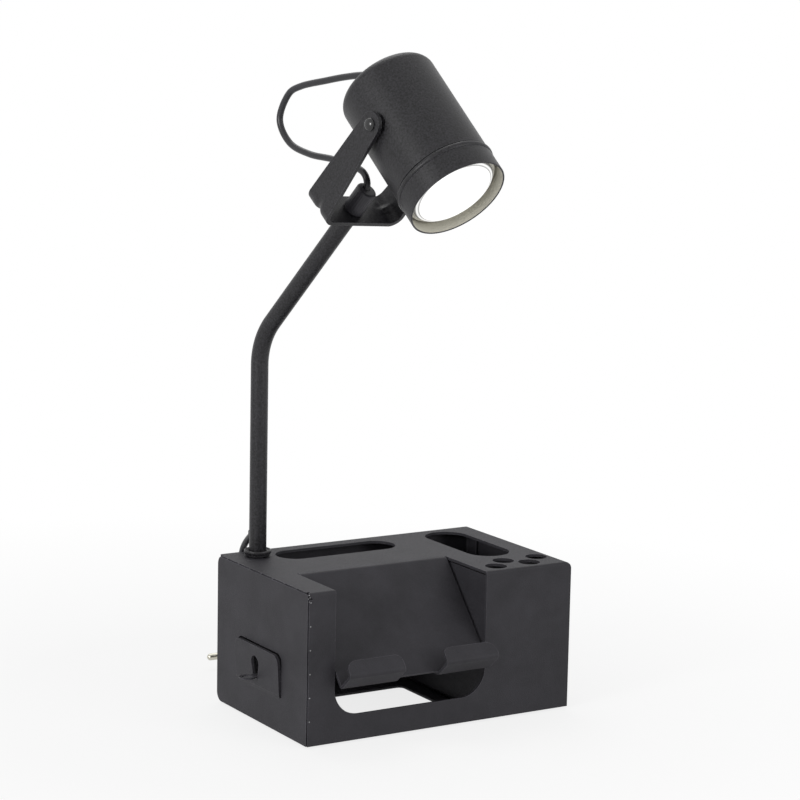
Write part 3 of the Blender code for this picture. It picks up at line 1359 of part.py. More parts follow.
def main():
    for obj in list(bpy.data.objects):
        bpy.data.objects.remove(obj)
    bpy.context.scene.collection.children.link(parts)
    bpy.context.scene.collection.children.link(cutters)
    steel = material("powder_coated_steel", "3c3c3f", 0.6)
    inside = material("white_enamel", "d8d6cc", 0.5)
    rubber = material("black_rubber", "202022", 0.8)
    zinc = material("zinc_plated_steel", "a8a9ab", 0.4, 1.0)
    nylon = material("black_nylon", "1c1c1e", 0.5)
    cable = material("black_cable_sheath", "2a2a2c", 0.45)
    glass = material("frosted_lens", "f4f4f2", 0.35)
    ceramic = material("ceramic", "e8e4da", 0.4)
    brass = material("nickel_plated_brass", "c4c0b4", 0.3, 1.0)

    front_panel(steel)
    top_shell(steel)
    left_panel(steel)
    rear_panel(steel)
    base_plate(steel)
    divider_wall(steel)
    phone_cradle(steel)
    feet(rubber)
    stem_tube(steel)
    stem_grommet(rubber)
    stem_fastenings(steel, zinc)

    corner = Vector(stem_points(0.0, [STEM_REACH])[-1])
    yoke_axis = bpy.data.objects.new("yoke_axis", None)
    parts.objects.link(yoke_axis)
    yoke_axis.matrix_world = (
        Matrix.Translation(corner)
        @ Matrix.Rotation(STEM_TURN, 4, "Z")
        @ Matrix.Rotation(STEM_LEAN, 4, "X")
        @ Matrix.Rotation(YOKE_SWIVEL, 4, "Z")
    )
    head_axis = bpy.data.objects.new("head_axis", None)
    parts.objects.link(head_axis)
    head_axis.parent = yoke_axis
    head_axis.location = (0.0, 0.0, YOKE_ARM)
    head_axis.rotation_euler = (HEAD_TILT, 0.0, 0.0)

    yoke(steel, yoke_axis)
    swivel_nut(zinc, yoke_axis)
    cord_grip(nylon, yoke_axis)
    head_shell(steel, head_axis)
    front_ring(steel, head_axis)
    lamp(inside, glass, brass, ceramic, head_axis)
    head_grommet(rubber, head_axis)
    tilt_joint(-1, "near", head_axis, zinc, nylon)
    tilt_joint(1, "far", head_axis, zinc, nylon)
    cords(cable, yoke_axis)
    coil_ties(nylon)
    line_switch(nylon, nylon)
    plug(nylon, brass)
    bpy.context.view_layer.update()
    print("yoke axis", [round(x, 5) for x in yoke_axis.matrix_world.translation])
    print("yoke axis direction", [round(x, 6) for x in yoke_axis.matrix_world.to_3x3().col[2]])
    print("tilt axis point", [round(x, 5) for x in head_axis.matrix_world.translation])
    print("tilt axis direction", [round(x, 6) for x in head_axis.matrix_world.to_3x3().col[0]])
    print("head forward", [round(x, 6) for x in head_axis.matrix_world.to_3x3().col[2]])


main()
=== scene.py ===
"""The looks of a desk lamp on a folded steel organizer: its visible pieces, finishes, light and camera."""

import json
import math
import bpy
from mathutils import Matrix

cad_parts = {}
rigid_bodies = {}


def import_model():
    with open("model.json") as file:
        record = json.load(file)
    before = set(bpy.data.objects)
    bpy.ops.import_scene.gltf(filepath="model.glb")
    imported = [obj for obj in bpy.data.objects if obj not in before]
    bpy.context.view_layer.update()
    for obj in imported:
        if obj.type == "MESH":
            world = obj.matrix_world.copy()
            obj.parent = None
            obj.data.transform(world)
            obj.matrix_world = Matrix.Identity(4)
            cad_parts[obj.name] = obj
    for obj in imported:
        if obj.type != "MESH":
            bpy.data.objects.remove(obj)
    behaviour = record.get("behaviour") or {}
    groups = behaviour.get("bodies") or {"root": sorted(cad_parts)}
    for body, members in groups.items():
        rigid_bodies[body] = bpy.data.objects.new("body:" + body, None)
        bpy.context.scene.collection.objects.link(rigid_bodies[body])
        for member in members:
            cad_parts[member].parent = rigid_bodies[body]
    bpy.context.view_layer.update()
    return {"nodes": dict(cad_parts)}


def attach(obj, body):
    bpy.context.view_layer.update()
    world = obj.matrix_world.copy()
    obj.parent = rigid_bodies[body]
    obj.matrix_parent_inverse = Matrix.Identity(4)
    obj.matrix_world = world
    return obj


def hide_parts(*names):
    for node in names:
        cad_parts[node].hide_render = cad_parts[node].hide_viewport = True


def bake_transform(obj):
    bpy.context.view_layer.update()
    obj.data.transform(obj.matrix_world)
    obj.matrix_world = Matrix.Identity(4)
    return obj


bl_info = {
    "name": "Desk lamp with organizer",
    "version": (1, 0, 0),
    "blender": (4, 5, 0),
    "location": "View3D > Sidebar > Desk lamp",
    "description": "Builds the pieces, finishes, light and camera of a desk lamp on a steel organizer",
    "category": "Add Mesh",
}

import bmesh
import bpy
import numpy as np

for leftover in list(bpy.data.objects):
    bpy.data.objects.remove(leftover)
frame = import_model()

MM = 0.001
WELD = 0.001 * MM
OVERRUN = 2 * MM
GAP = 0.3 * MM

# The organizer box
LEFT, RIGHT = -17.5 * MM, 148.5 * MM
FRONT, REAR = -88.3 * MM, 13.3 * MM
FLOOR, TOP = 1.2 * MM, 83.6 * MM
SHEET = 1.5 * MM
SIDE_FOLD_RADIUS = 4.0 * MM
FRONT_FOLD_RADIUS = 1.8 * MM
WINDOW_FROM_LEFT = 16.5 * MM
WINDOW_WIDTH = 94.0 * MM
WINDOW_SILL = 14.0 * MM
WINDOW_CORNER_RADIUS = 15.0 * MM
NOTCH_DEPTH = 42.5 * MM
SEAM_OPENING = 0.7 * MM
SEAM_GAP = 0.15 * MM
SEAM_GROOVE = 1.0 * MM
SEAM_DEPTH = 1.3 * MM
BRIDGE_MARK_PLACE = 1.5 * MM
BRIDGE_LENGTH = 1.4 * MM
BRIDGE_BEAD_RADIUS = 0.45 * MM
REAR_CORNER_RADIUS = 5.0 * MM
BRIDGE_PITCH = 12.8 * MM
FIRST_BRIDGE = 13.5 * MM
CORNER_RELIEF = 0.8 * MM

# Small worn spots at the front left corner: x, y, z beside its top and a radius, in millimetres
WORN_SPOTS = [(0.4, 0.1, -0.9, 0.35), (0.9, 0.1, -2.2, 0.3), (0.1, 0.3, -2.8, 0.25), (0.5, 0.1, -4.4, 0.25)]

# Openings of the top, from its left and front edges: the slots' end centres and the holes' centres
LEFT_SLOT_ENDS = (38.1 * MM, 90.1 * MM)
LEFT_SLOT_Y = 82.9 * MM
LEFT_SLOT_RADIUS = 11.0 * MM
RIGHT_SLOT_X = 138.1 * MM
RIGHT_SLOT_ENDS = (42.7 * MM, 83.6 * MM)
RIGHT_SLOT_RADIUS = 12.8 * MM
PEN_HOLES = [
    (122.5 * MM, 9.5 * MM),
    (133.4 * MM, 18.8 * MM),
    (144.3 * MM, 9.5 * MM),
    (155.2 * MM, 18.8 * MM),
]
PEN_HOLE_RADIUS = 6.0 * MM
STEM_HOLE_CLEARANCE = 0.4 * MM

# The lanced flap and its bent-out cable eye
FLAP_FRONT = FRONT + 28.0 * MM
FLAP_LENGTH = 50.0 * MM
FLAP_LOW = FLOOR + 19.5 * MM
FLAP_HEIGHT = 23.5 * MM
FLAP_SLIT = 2.0 * MM
FLAP_JOGGLE = 1.5 * MM
FLAP_JOGGLE_HEIGHT = 4.0 * MM
FLAP_LEAN = math.radians(4.5)
FLAP_SLACK = 0.45 * MM
SLIT_SEEN = 0.75 * MM
FLAP_STAND_SHARE = 0.75
EYE_BORE_SHARE = 1.28
EYE_THICKNESS_SHARE = 0.45
EYE_PLACE = (FRONT + 54.6 * MM, FLOOR + 25.5 * MM)
EYE_REACH = 5.6 * MM
EYE_BORE_RADIUS = 2.3 * MM

# The stem
STEM_RADIUS = 4.8 * MM
STEM_THREAD_RADIUS = 4.0 * MM
STEM_BORE_RADIUS = 2.8 * MM
STEM_RISE = 120.3 * MM
STEM_REACH = 93.5 * MM
STEM_BEND_RADIUS = 37.0 * MM
STEM_LEAN = math.radians(41.3)
STEM_TURN = math.radians(17.5)
STEM_BELOW_TOP = 9.0 * MM
BASE_RISE = 6.0 * MM
STEM_SHOULDER = STEM_REACH + BASE_RISE - 3.9 * MM
STEM_TIP = STEM_REACH + 12.6 * MM
COLLAR_RADIUS = 7.5 * MM
COLLAR_HEIGHT = 3.6 * MM
EXIT_SLOT_CLEARANCE = 1.4 * MM
EXIT_SLOT_FROM = math.radians(8.0)
EXIT_SLOT_TO = math.radians(79.0)

# The yoke
YOKE_SWIVEL = math.radians(-6.0)
YOKE_THICKNESS = 2.2 * MM
YOKE_WIDTH = 19.5 * MM
YOKE_TIP_WIDTH = 13.4 * MM
YOKE_SPLAY = math.radians(3.0)
YOKE_ARM = 67.0 * MM
YOKE_OFFSET = 28.9 * MM
YOKE_BEND_RADIUS = 5.9 * MM
GUSSET_DEPTH = 1.5 * MM
GUSSET_WIDTH = 1.9 * MM
GUSSET_REACH = 4.5 * MM
GRIP_RADIUS = 5.6 * MM
GRIP_TOP = YOKE_THICKNESS / 2 + GAP + 20.5 * MM
THREAD_TOP = YOKE_THICKNESS / 2 + GAP + 11.5 * MM

# The head, with stations along its axis from the tilt axis
HEAD_TILT = math.radians(92.0)
HEAD_RADIUS = 26.3 * MM
HEAD_WALL = 1.1 * MM
HEAD_REAR = 27.0 * MM
REAR_WALL = 30.2 * MM
REAR_WALL_RADIUS = 5.5 * MM
HEAD_RIM = 49.2 * MM
RING_LENGTH = 15.0 * MM
BUSH_HOLE_RADIUS = 4.5 * MM
LAMP_FACE = HEAD_RIM - 6.5 * MM
LAMP_RIM_RADIUS = 24.5 * MM
LAMP_NECK_RADIUS = 8.7 * MM
LAMP_NECK_END = -3 * MM
LENS_SEAT_RADIUS = 22.9 * MM
LENS_RADIUS = 22.6 * MM

# The pivots of the head
PIVOT_HOLE_RADIUS = 2.3 * MM
SCREW_RADIUS = 1.9 * MM
SCREW_END = 23 * MM
SCREW_HEAD_RADIUS = 3.4 * MM
SCREW_HEAD_FOOT_RADIUS = 3.3 * MM
SCREW_HEAD_HEIGHT = 1.8 * MM
WASHER_RADIUS = 5 * MM
WASHER_THICKNESS = 0.9 * MM

# The cord
CORD_RADIUS = 1.8 * MM
MAINS_SPACING = 1.3 * MM
LOOP_SPACING = 1.0 * MM
LOOP_POINTS_IN_GRIP = 18
EXIT_BEND_RADIUS = 14.0 * MM
EXIT_ANGLE = math.radians(50.0)
EXIT_ABOVE_TOP = 12.4 * MM
COIL_CENTRE = (119.0 * MM, 46.2 * MM)
COIL_PITCH = 4.1 * MM
COIL_TURNS_PER_LAYER = 2.5
COIL_LAYERS = 4
COIL_OUTER_RADIUS = 26.8 * MM
TIE_THICKNESS = 0.8 * MM
SWITCH_START = 27.0 * MM
SWITCH_Y = 26.2 * MM
SWITCH_LENGTH = 56.0 * MM
SWITCH_WIDTH = 22.0 * MM
SWITCH_HEIGHT = 15.5 * MM
SWITCH_CORNER_RADIUS = 7 * MM
SWITCH_SOCKET_DEPTH = 5 * MM
ROCKER_AXIS_DEPTH = 3.5 * MM
ROCKER_RADIUS = 7.0 * MM
ROCKER_WIDTH = 10.0 * MM
PLUG_ENTRY_X = 84.0 * MM
PLUG_Y = 66.0 * MM
PLUG_LENGTH = 36.0 * MM
PLUG_HEIGHT = 13.7 * MM
PIN_RADIUS = 2 * MM
PIN_STRAIGHT = 17 * MM
PIN_SPREAD = 9.3 * MM
RELIEF_LENGTH = 20.0 * MM

# Routes of the cord, in millimetres beside the places that it joins
HEAD_CORD_FROM_GRIP = [
    (0.0, 0.0, -5.9),
    (0.0, 0.1, -3.4),
    (0.0, 2.1, 1.7),
    (0.0, 7.2, 3.9),
    (0.0, 14.0, 1.9),
    (0.0, 29.8, -7.7),
    (0.0, 44.5, -18.5),
    (0.0, 60.0, -25.5),
    (0.0, 74.6, -22.7),
    (0.0, 79.5, -9.1),
    (0.0, 75.5, 1.3),
    (0.0, 63.7, 16.6),
]
HEAD_CORD_TO_HEAD = [
    (0.0, -18.4, -26.4),
    (0.0, -7.8, -17.3),
    (0.0, -2.1, -9.9),
    (0.0, -0.1, -4.0),
    (0.0, 0.0, -1.5),
    (0.0, 0.0, 1.1),
]
DROP_FROM_STEM = [
    (0.0, 0.3, -0.3),
    (0.0, 5.0, -4.0),
    (0.0, 8.2, -6.8),
    (0.0, 11.1, -10.1),
    (0.0, 13.0, -13.7),
    (0.0, 14.2, -18.5),
    (0.0, 14.5, -25.0),
]
DROP_TO_SWITCH = [
    (-27.0, -6.7, 42.0),
    (-27.0, -6.7, 28.0),
    (-26.5, -6.7, 19.0),
    (-23.9, -6.4, 10.9),
    (-19.3, -5.5, 4.8),
    (-13.5, -3.7, 1.2),
    (-7.5, -1.6, 0.1),
    (-2.5, -0.2, 0.0),
    (1.2, 0.0, 0.0),
    (4.7, 0.0, 0.0),
]
LEAD_FROM_SWITCH = [(-4.7, 0.0, 0.0), (-0.5, 0.0, 0.0), (5.5, -0.7, -0.8), (13.5, -3.1, -2.8)]
LEAD_TO_COIL = [(-11.0, 0.4, 0.0), (-4.3, 0.0, 0.0), (-0.3, 0.0, 0.0)]
END_FROM_COIL = [
    (0.3, 0.0, 0.0),
    (6.4, 0.0, 0.0),
    (14.4, 1.4, -1.7),
    (22.9, 7.2, -6.0),
    (28.4, 15.6, -10.5),
    (30.7, 26.6, -13.1),
    (27.4, 39.6, -13.3),
    (19.4, 52.1, -13.4),
    (6.4, 60.1, -13.4),
]
END_TO_PLUG = [
    (31.0, 14.0, -4.6),
    (19.0, 9.5, -3.1),
    (11.0, 4.0, -1.2),
    (4.0, 0.7, -0.1),
    (-4.0, 0.0, 0.0),
    (-20.0, 0.0, 0.0),
]

# The camera, worked out from the organizer's edges in the photograph
CAMERA_PLACE = (-0.6592, -1.2188, 0.4042)
CAMERA_YAW = 0.551081
CAMERA_PITCH = 0.166142
CAMERA_ROLL = 0.0200708
CAMERA_LENS = 116.022


def linear(code):
    """The linear colour of an sRGB hex code."""
    shares = np.array([int(code[i : i + 2], 16) for i in (0, 2, 4)]) / 255
    return tuple(np.where(shares <= 0.04045, shares / 12.92, ((shares + 0.055) / 1.055) ** 2.4))


# Outlines and places


def rounded(corners, steps=10):
    """A closed outline from corners (x, y, radius), in which each radius becomes an arc of even steps.

    The arc's centre lies on the corner's bisector, radius over the sine of half the angle away.
    """
    points = []
    for k, (x, y, radius) in enumerate(corners):
        here = np.array([x, y])
        if not radius:
            points.append(here[None])
            continue
        back = np.array(corners[k - 1][:2]) - here
        on = np.array(corners[(k + 1) % len(corners)][:2]) - here
        back, on = back / np.linalg.norm(back), on / np.linalg.norm(on)
        half = math.acos(float(np.clip(back @ on, -1, 1))) / 2
        bisector = (back + on) / np.linalg.norm(back + on)
        centre = here + bisector * radius / math.sin(half)
        spoke = here + back * radius / math.tan(half) - centre
        turn = math.copysign(math.pi - 2 * half, back[0] * on[1] - back[1] * on[0])
        angle = -turn * np.linspace(0, 1, steps + 1)
        c, s = np.cos(angle), np.sin(angle)
        points.append(centre + np.column_stack([c * spoke[0] - s * spoke[1], s * spoke[0] + c * spoke[1]]))
    return np.vstack(points)


def rectangle(x0, y0, x1, y1, radius=0.0, steps=10):
    """A rectangle's outline, with round corners if a radius is given."""
    return rounded([(x0, y0, radius), (x1, y0, radius), (x1, y1, radius), (x0, y1, radius)], steps)


def circle(x, y, radius, steps=64):
    """A circle's outline."""
    angle = np.linspace(0, 2 * math.pi, steps, endpoint=False)
    return np.column_stack([x + radius * np.cos(angle), y + radius * np.sin(angle)])


def stadium(start, end, radius, steps=32):
    """The outline of a slot with round ends about two centres."""
    along = math.atan2(end[1] - start[1], end[0] - start[0])
    ends = []
    for (x, y), first in ((end, along - math.pi / 2), (start, along + math.pi / 2)):
        angle = first + np.linspace(0, math.pi, steps + 1)
        ends.append(np.column_stack([x + radius * np.cos(angle), y + radius * np.sin(angle)]))
    return np.vstack(ends)


def turn_about(axis, angle):
    """The 4 by 4 matrix of a turn about the X, Y or Z axis."""
    matrix = np.eye(4)
    i, j = {"X": (1, 2), "Y": (2, 0), "Z": (0, 1)}[axis]
    matrix[i, i] = matrix[j, j] = math.cos(angle)
    matrix[i, j], matrix[j, i] = -math.sin(angle), math.sin(angle)
    return matrix


def shift(x, y, z):
    """The 4 by 4 matrix of a shift."""
    matrix = np.eye(4)
    matrix[:3, 3] = x, y, z
    return matrix


def moved(points, matrix):
    """The points, taken through a 4 by 4 matrix."""
    return np.asarray(points, float) @ matrix[:3, :3].T + matrix[:3, 3]


def stem_line(low, high, steps=48):
    """The stem's axis: straight up from low, round the bend, then on at the lean to lengths past the corner.

    On the bend a point at angle a lies R (1 - cos a) out and R sin a up from the bend's start.
    """
    corner = TOP + STEM_RISE
    setback = STEM_BEND_RADIUS * math.tan(STEM_LEAN / 2)
    angle = STEM_LEAN * np.linspace(0, 1, steps + 1)
    bend = np.column_stack(
        [STEM_BEND_RADIUS * (1 - np.cos(angle)), corner - setback + STEM_BEND_RADIUS * np.sin(angle)]
    )
    high = np.array(high)
    on = np.column_stack([high * math.sin(STEM_LEAN), corner + high * math.cos(STEM_LEAN)])
    line = np.vstack([[[0.0, low]], bend, on])
    flat = np.column_stack([np.zeros(len(line)), -line[:, 0], line[:, 1]])
    return moved(flat, turn_about("Z", STEM_TURN))


YOKE_PLACE = (
    shift(*stem_line(0.0, [STEM_REACH])[-1])
    @ turn_about("Z", STEM_TURN)
    @ turn_about("X", STEM_LEAN)
    @ turn_about("Z", YOKE_SWIVEL)
)
HEAD_PLACE = YOKE_PLACE @ shift(0, 0, YOKE_ARM) @ turn_about("X", HEAD_TILT)


def smooth_route(points, spacing):
    """Evenly spaced points on a smooth curve through a route's points.

    Between two points the curve is the cubic whose slope at each is half the step between its neighbours.
    """
    route = np.array(points, float)
    ghost = np.vstack([2 * route[0] - route[1], route, 2 * route[-1] - route[-2]])
    a, b, c, d = (ghost[k : len(ghost) - 3 + k, None] for k in range(4))
    t = np.linspace(0.0, 1.0, 41)[:-1, None]
    bend = (2 * a - 5 * b + 4 * c - d) * t**2 + (3 * b - a - 3 * c + d) * t**3
    fine = np.vstack([(0.5 * (2 * b + (c - a) * t + bend)).reshape(-1, 3), route[-1:]])
    run = np.concatenate([[0.0], np.cumsum(np.linalg.norm(np.diff(fine, axis=0), axis=1))])
    even = np.linspace(0.0, run[-1], max(2, round(run[-1] / spacing) + 1))
    return np.column_stack([np.interp(even, run, fine[:, k]) for k in range(3)])


# Surfaces: each is a grid of points and its faces


def grid_faces(rows, columns, wrap_rows=False, wrap_columns=False, start=0):
    """The four-sided faces between neighbouring points of a grid, which may close on itself either way."""
    i, j = np.meshgrid(
        np.arange(rows - (not wrap_rows)), np.arange(columns - (not wrap_columns)), indexing="ij"
    )
    on, over = (i + 1) % rows, (j + 1) % columns
    corners = [i * columns + j, i * columns + over, on * columns + over, on * columns + j]
    return (start + np.stack(corners, -1)).reshape(-1, 4).tolist()


def turned(profile, steps=96):
    """A profile (radius, height) turned about Z: x = r cos a, y = r sin a, z = h.

    A profile that starts and ends on the axis closes there, and any other closes on itself.
    """
    profile = np.asarray(profile, float)
    angle = np.linspace(0, 2 * math.pi, steps, endpoint=False)
    r, h = profile[:, :1], np.repeat(profile[:, 1:], steps, axis=1)
    points = np.stack([r * np.cos(angle), r * np.sin(angle), h], -1).reshape(-1, 3)
    on_axis = profile[0, 0] == 0 and profile[-1, 0] == 0
    return points, grid_faces(len(profile), steps, wrap_rows=not on_axis, wrap_columns=True)


def path_frames(path):
    """Two unit vectors across the path at each point, which turn with it and don't twist.

    The first of each pair is the one before it, laid square to the path again, and the second completes it.
    """
    path = np.asarray(path, float)
    tangent = np.gradient(path, axis=0)
    tangent /= np.linalg.norm(tangent, axis=1)[:, None]
    side = np.cross(tangent[0], [0.0, 0.0, 1.0] if abs(tangent[0, 2]) < 0.9 else [1.0, 0.0, 0.0])
    across = np.empty_like(path)
    across[0] = side / np.linalg.norm(side)
    for k in range(1, len(path)):
        side = across[k - 1] - tangent[k] * (across[k - 1] @ tangent[k])
        across[k] = side / np.linalg.norm(side)
    return across, np.cross(tangent, across)


def swept(path, radius, sides=20, start=0):
    """A round bar along a path: path + r (cos a * across + sin a * up), closed by flat ends."""
    path = np.asarray(path, float)
    across, up = path_frames(path)
    angle = np.linspace(0, 2 * math.pi, sides, endpoint=False)[None, :, None]
    r = np.broadcast_to(np.asarray(radius, float), (len(path),))[:, None, None]
    points = path[:, None] + r * (np.cos(angle) * across[:, None] + np.sin(angle) * up[:, None])
    faces = grid_faces(len(path), sides, wrap_columns=True, start=start)
    last = start + (len(path) - 1) * sides
    faces += [list(range(start, start + sides)), list(range(last, last + sides))]
    return points.reshape(-1, 3), faces


def drawn(outline, axis, low, high):
    """A straight bar: an outline in YZ, XZ or XY, drawn along X, Y or Z from low to high."""
    outline = np.asarray(outline, float)
    count = len(outline)
    ends = [np.column_stack([outline, np.full(count, level)]) for level in (low, high)]
    order = {"X": (2, 0, 1), "Y": (0, 2, 1), "Z": (0, 1, 2)}[axis]
    points = np.vstack(ends)[:, order]
    faces = grid_faces(2, count, wrap_columns=True)
    return points, [*faces, list(range(count)), list(range(count, 2 * count))]


def inset(outline, distance):
    """An outline moved inwards: each point goes along the mean of its two edges' inward normals."""
    outline = np.asarray(outline, float)
    edge = np.roll(outline, -1, axis=0) - outline
    edge /= np.linalg.norm(edge, axis=1)[:, None]
    normal = np.column_stack([-edge[:, 1], edge[:, 0]])
    area = np.sum(outline[:, 0] * np.roll(outline[:, 1], -1) - outline[:, 1] * np.roll(outline[:, 0], -1))
    mean = normal + np.roll(normal, 1, axis=0)
    mean /= np.maximum(np.sum(mean * mean, axis=1), 0.5)[:, None] / 2
    return outline + math.copysign(distance, area) * mean


def moulded(outline, low, high, edge, steps=5, low_edge=None):
    """A moulded block: an outline that is drawn up and rolls over at its edges.

    At angle a round an edge of radius e the outline lies e (1 - cos a) in and e (1 - sin a) from the end.
    """
    low_edge = edge if low_edge is None else low_edge
    angle = np.linspace(0, math.pi / 2, steps + 1)
    rows = [(low_edge * (1 - math.sin(a)), low + low_edge * (1 - math.cos(a))) for a in angle]
    rows += [(edge * (1 - math.cos(a)), high - edge * (1 - math.sin(a))) for a in angle]
    count = len(outline)
    layers = [np.column_stack([inset(outline, d), np.full(count, z)]) for d, z in rows]
    last = (len(rows) - 1) * count
    faces = grid_faces(len(rows), count, wrap_columns=True)
    return np.vstack(layers), [*faces, list(range(count)), list(range(last, last + count))]


# Objects


def body(name, shape, look=None):
    """An object of closed surfaces, with its doubled points merged and its faces outwards."""
    points, faces = shape
    mesh = bpy.data.meshes.new(name)
    mesh.from_pydata(np.asarray(points, float).tolist(), [], faces)
    return welded(name, mesh, look)


def welded(name, mesh, look=None, flat_angle=None):
    """An object of a mesh whose doubled points are merged, with its faces outwards."""
    bm = bmesh.new()
    bm.from_mesh(mesh)
    bmesh.ops.remove_doubles(bm, verts=bm.verts[:], dist=WELD)
    if flat_angle:
        bmesh.ops.dissolve_limit(bm, angle_limit=flat_angle, verts=bm.verts[:], edges=bm.edges[:])
    bmesh.ops.recalc_face_normals(bm, faces=bm.faces[:])
    if bm.calc_volume(signed=True) < 0.0:
        bmesh.ops.reverse_faces(bm, faces=bm.faces[:])
    bm.to_mesh(mesh)
    bm.free()
    obj = bpy.data.objects.new(name, mesh)
    bpy.context.scene.collection.objects.link(obj)
    if look:
        mesh.materials.clear()
        mesh.materials.append(look)
    return obj


def places(obj):
    """The places of the object's points, as one array."""
    flat = np.empty(3 * len(obj.data.vertices))
    obj.data.vertices.foreach_get("co", flat)
    return flat.reshape(-1, 3)


def set_places(obj, points):
    """Puts the object's points at new places."""
    obj.data.vertices.foreach_set("co", points.ravel())
    obj.data.update()


def place_mesh(obj, matrix):
    """Puts the object's place into its mesh."""
    set_places(obj, moved(places(obj), matrix))


def seated(shape, matrix):
    """A shape's points and faces, with the points taken through a 4 by 4 matrix."""
    return moved(shape[0], matrix), shape[1]


def modifier(obj, kind, **settings):
    """Adds one modifier with its settings."""
    made = obj.modifiers.new(kind.lower(), kind)
    for name, value in settings.items():
        setattr(made, name, value)


def settled(obj):
    """Applies the object's modifiers."""
    bpy.context.view_layer.update()
    graph = bpy.context.evaluated_depsgraph_get()
    mesh = bpy.data.meshes.new_from_object(obj.evaluated_get(graph))
    obj.modifiers.clear()
    obj.data = mesh
    mesh.name = obj.name
    return obj


def cut(obj, *shapes, operation="DIFFERENCE"):
    """Cuts shapes out of an object, or cuts it down to what it shares with them, one after another."""
    tools = [body(f"{obj.name}_tool_{k}", shape) for k, shape in enumerate(shapes)]
    for tool in tools:
        modifier(obj, "BOOLEAN", object=tool, operation=operation, solver="EXACT")
    settled(obj)
    for tool in tools:
        bpy.data.objects.remove(tool)
    return obj


def broken_edges(obj, width, segments=2, angle=38.0):
    """Rounds every sharp edge a little, as a deburred edge under paint is, and keeps the flats flat."""
    modifier(
        obj,
        "BEVEL",
        width=width,
        segments=segments,
        limit_method="ANGLE",
        angle_limit=math.radians(angle),
        use_clamp_overlap=True,
    )
    return settled(obj)


def shaded(obj, degrees=40.0, weighted=False):
    """Round shading, sharp where faces meet at more than the angle. Weighting keeps large flats flat."""
    obj.data.shade_smooth()
    obj.data.set_sharp_from_angle(angle=math.radians(degrees))
    if weighted:
        modifier(obj, "WEIGHTED_NORMAL", keep_sharp=True, weight=100)
        settled(obj)
    return obj


def fitted(obj, carrier, *nodes, slot=None):
    """The finished piece rides on a body of the frame and stands for CAD nodes."""
    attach(obj, carrier)
    if nodes:
        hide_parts(*nodes)
    return obj


def refinished(cad_node, look):
    """Gives a CAD node, whose shape is right as it is, a better material."""
    materials = frame["nodes"][cad_node].data.materials
    materials.clear()
    materials.append(look)


def sheet_copy(cad_node, name, look, edge):
    """A CAD node's own shape, merged, with its edges broken."""
    obj = welded(name, frame["nodes"][cad_node].data.copy(), look, flat_angle=math.radians(0.4))
    broken_edges(obj, edge)
    return shaded(obj, weighted=True)


# Finishes

# The coarse powder's lumps, as a share of the fine powder's
COARSE_LUMP_SHARE = 1.7


def node(tree, kind, settings=None, links=None):
    """Adds one node. Settings go to its attributes or inputs, and links join its inputs to outputs."""
    made = tree.nodes.new(kind)
    for name, value in (settings or {}).items():
        if isinstance(name, str) and hasattr(made, name):
            setattr(made, name, value)
        else:
            made.inputs[name].default_value = value
    for name, source in (links or {}).items():
        tree.links.new(source, made.inputs[name])
    return made


def grained(
    name, settings, tones, roughness, lump, depth, speckle=0.3, cloud=20 * MM, stretch=(1, 1, 1), wear_and_edge_highlight=None
):
    """A material of one colour that varies between two tones, on a surface of fine lumps.

    The colour follows the lumps by the speckle share and wide clouds by the rest. The lumps also raise the
    surface by their depth and roughen it. A pale colour shows in patches along the edges, where the normal
    of a rounded edge differs from the face's own: partly real wear, and partly a painted edge highlight.
    """
    material = bpy.data.materials.new(name)
    material.use_nodes = True
    tree = material.node_tree
    shader = tree.nodes["Principled BSDF"]
    for key, value in settings.items():
        shader.inputs[key].default_value = value
    where = node(tree, "ShaderNodeTexCoord").outputs["Object"]
    placed = node(tree, "ShaderNodeMapping", {"Scale": stretch}, {"Vector": where}).outputs[0]
    fine = {"Scale": 1 / lump, "Detail": 2.0, "Roughness": 0.6}
    lumps = node(tree, "ShaderNodeTexNoise", fine, {"Vector": placed}).outputs["Fac"]
    wide = {"Scale": 1 / cloud, "Detail": 3.0, "Roughness": 0.6}
    clouds = node(tree, "ShaderNodeTexNoise", wide, {"Vector": where}).outputs["Fac"]
    share = node(tree, "ShaderNodeMix", {"Factor": speckle}, {"A": clouds, "B": lumps}).outputs[0]
    spread = {"From Min": 0.33, "From Max": 0.67}
    share = node(tree, "ShaderNodeMapRange", spread, {"Value": share}).outputs[0]
    low, high = ((*tone, 1.0) for tone in tones)
    colour = node(tree, "ShaderNodeMix", {"data_type": "RGBA", 6: low, 7: high}, {0: share}).outputs[2]
    # Pale edges: partly real wear, partly a painted highlight along the edges
    if wear_and_edge_highlight:
        rounded_edge = node(tree, "ShaderNodeBevel", {"samples": 4, "Radius": 0.5 * MM}).outputs[0]
        face = node(tree, "ShaderNodeNewGeometry").outputs["Normal"]
        same = node(tree, "ShaderNodeVectorMath", {"operation": "DOT_PRODUCT"}, {0: rounded_edge, 1: face})
        edge = {"From Min": 0.99, "From Max": 0.8}
        edge = node(tree, "ShaderNodeMapRange", edge, {"Value": same.outputs["Value"]}).outputs[0]
        worn_and_highlit_edge = node(tree, "ShaderNodeMath", {"operation": "MULTIPLY"}, {0: edge, 1: share}).outputs[0]
        bare = {"data_type": "RGBA", 7: (*wear_and_edge_highlight, 1.0)}
        colour = node(tree, "ShaderNodeMix", bare, {0: worn_and_highlit_edge, 6: colour}).outputs[2]
    tree.links.new(colour, shader.inputs["Base Color"])
    smooth, rough = roughness
    spread = {"From Min": 0.3, "From Max": 0.7, "To Min": smooth, "To Max": rough}
    roughened = node(tree, "ShaderNodeMapRange", spread, {"Value": lumps}).outputs[0]
    tree.links.new(roughened, shader.inputs["Roughness"])
    bump = node(tree, "ShaderNodeBump", {"Distance": depth}, {"Height": lumps})
    tree.links.new(bump.outputs["Normal"], shader.inputs["Normal"])
    return material


def shades(colour, dark, pale):
    """Two tones of one colour."""
    return tuple(dark * c for c in colour), tuple(pale * c for c in colour)


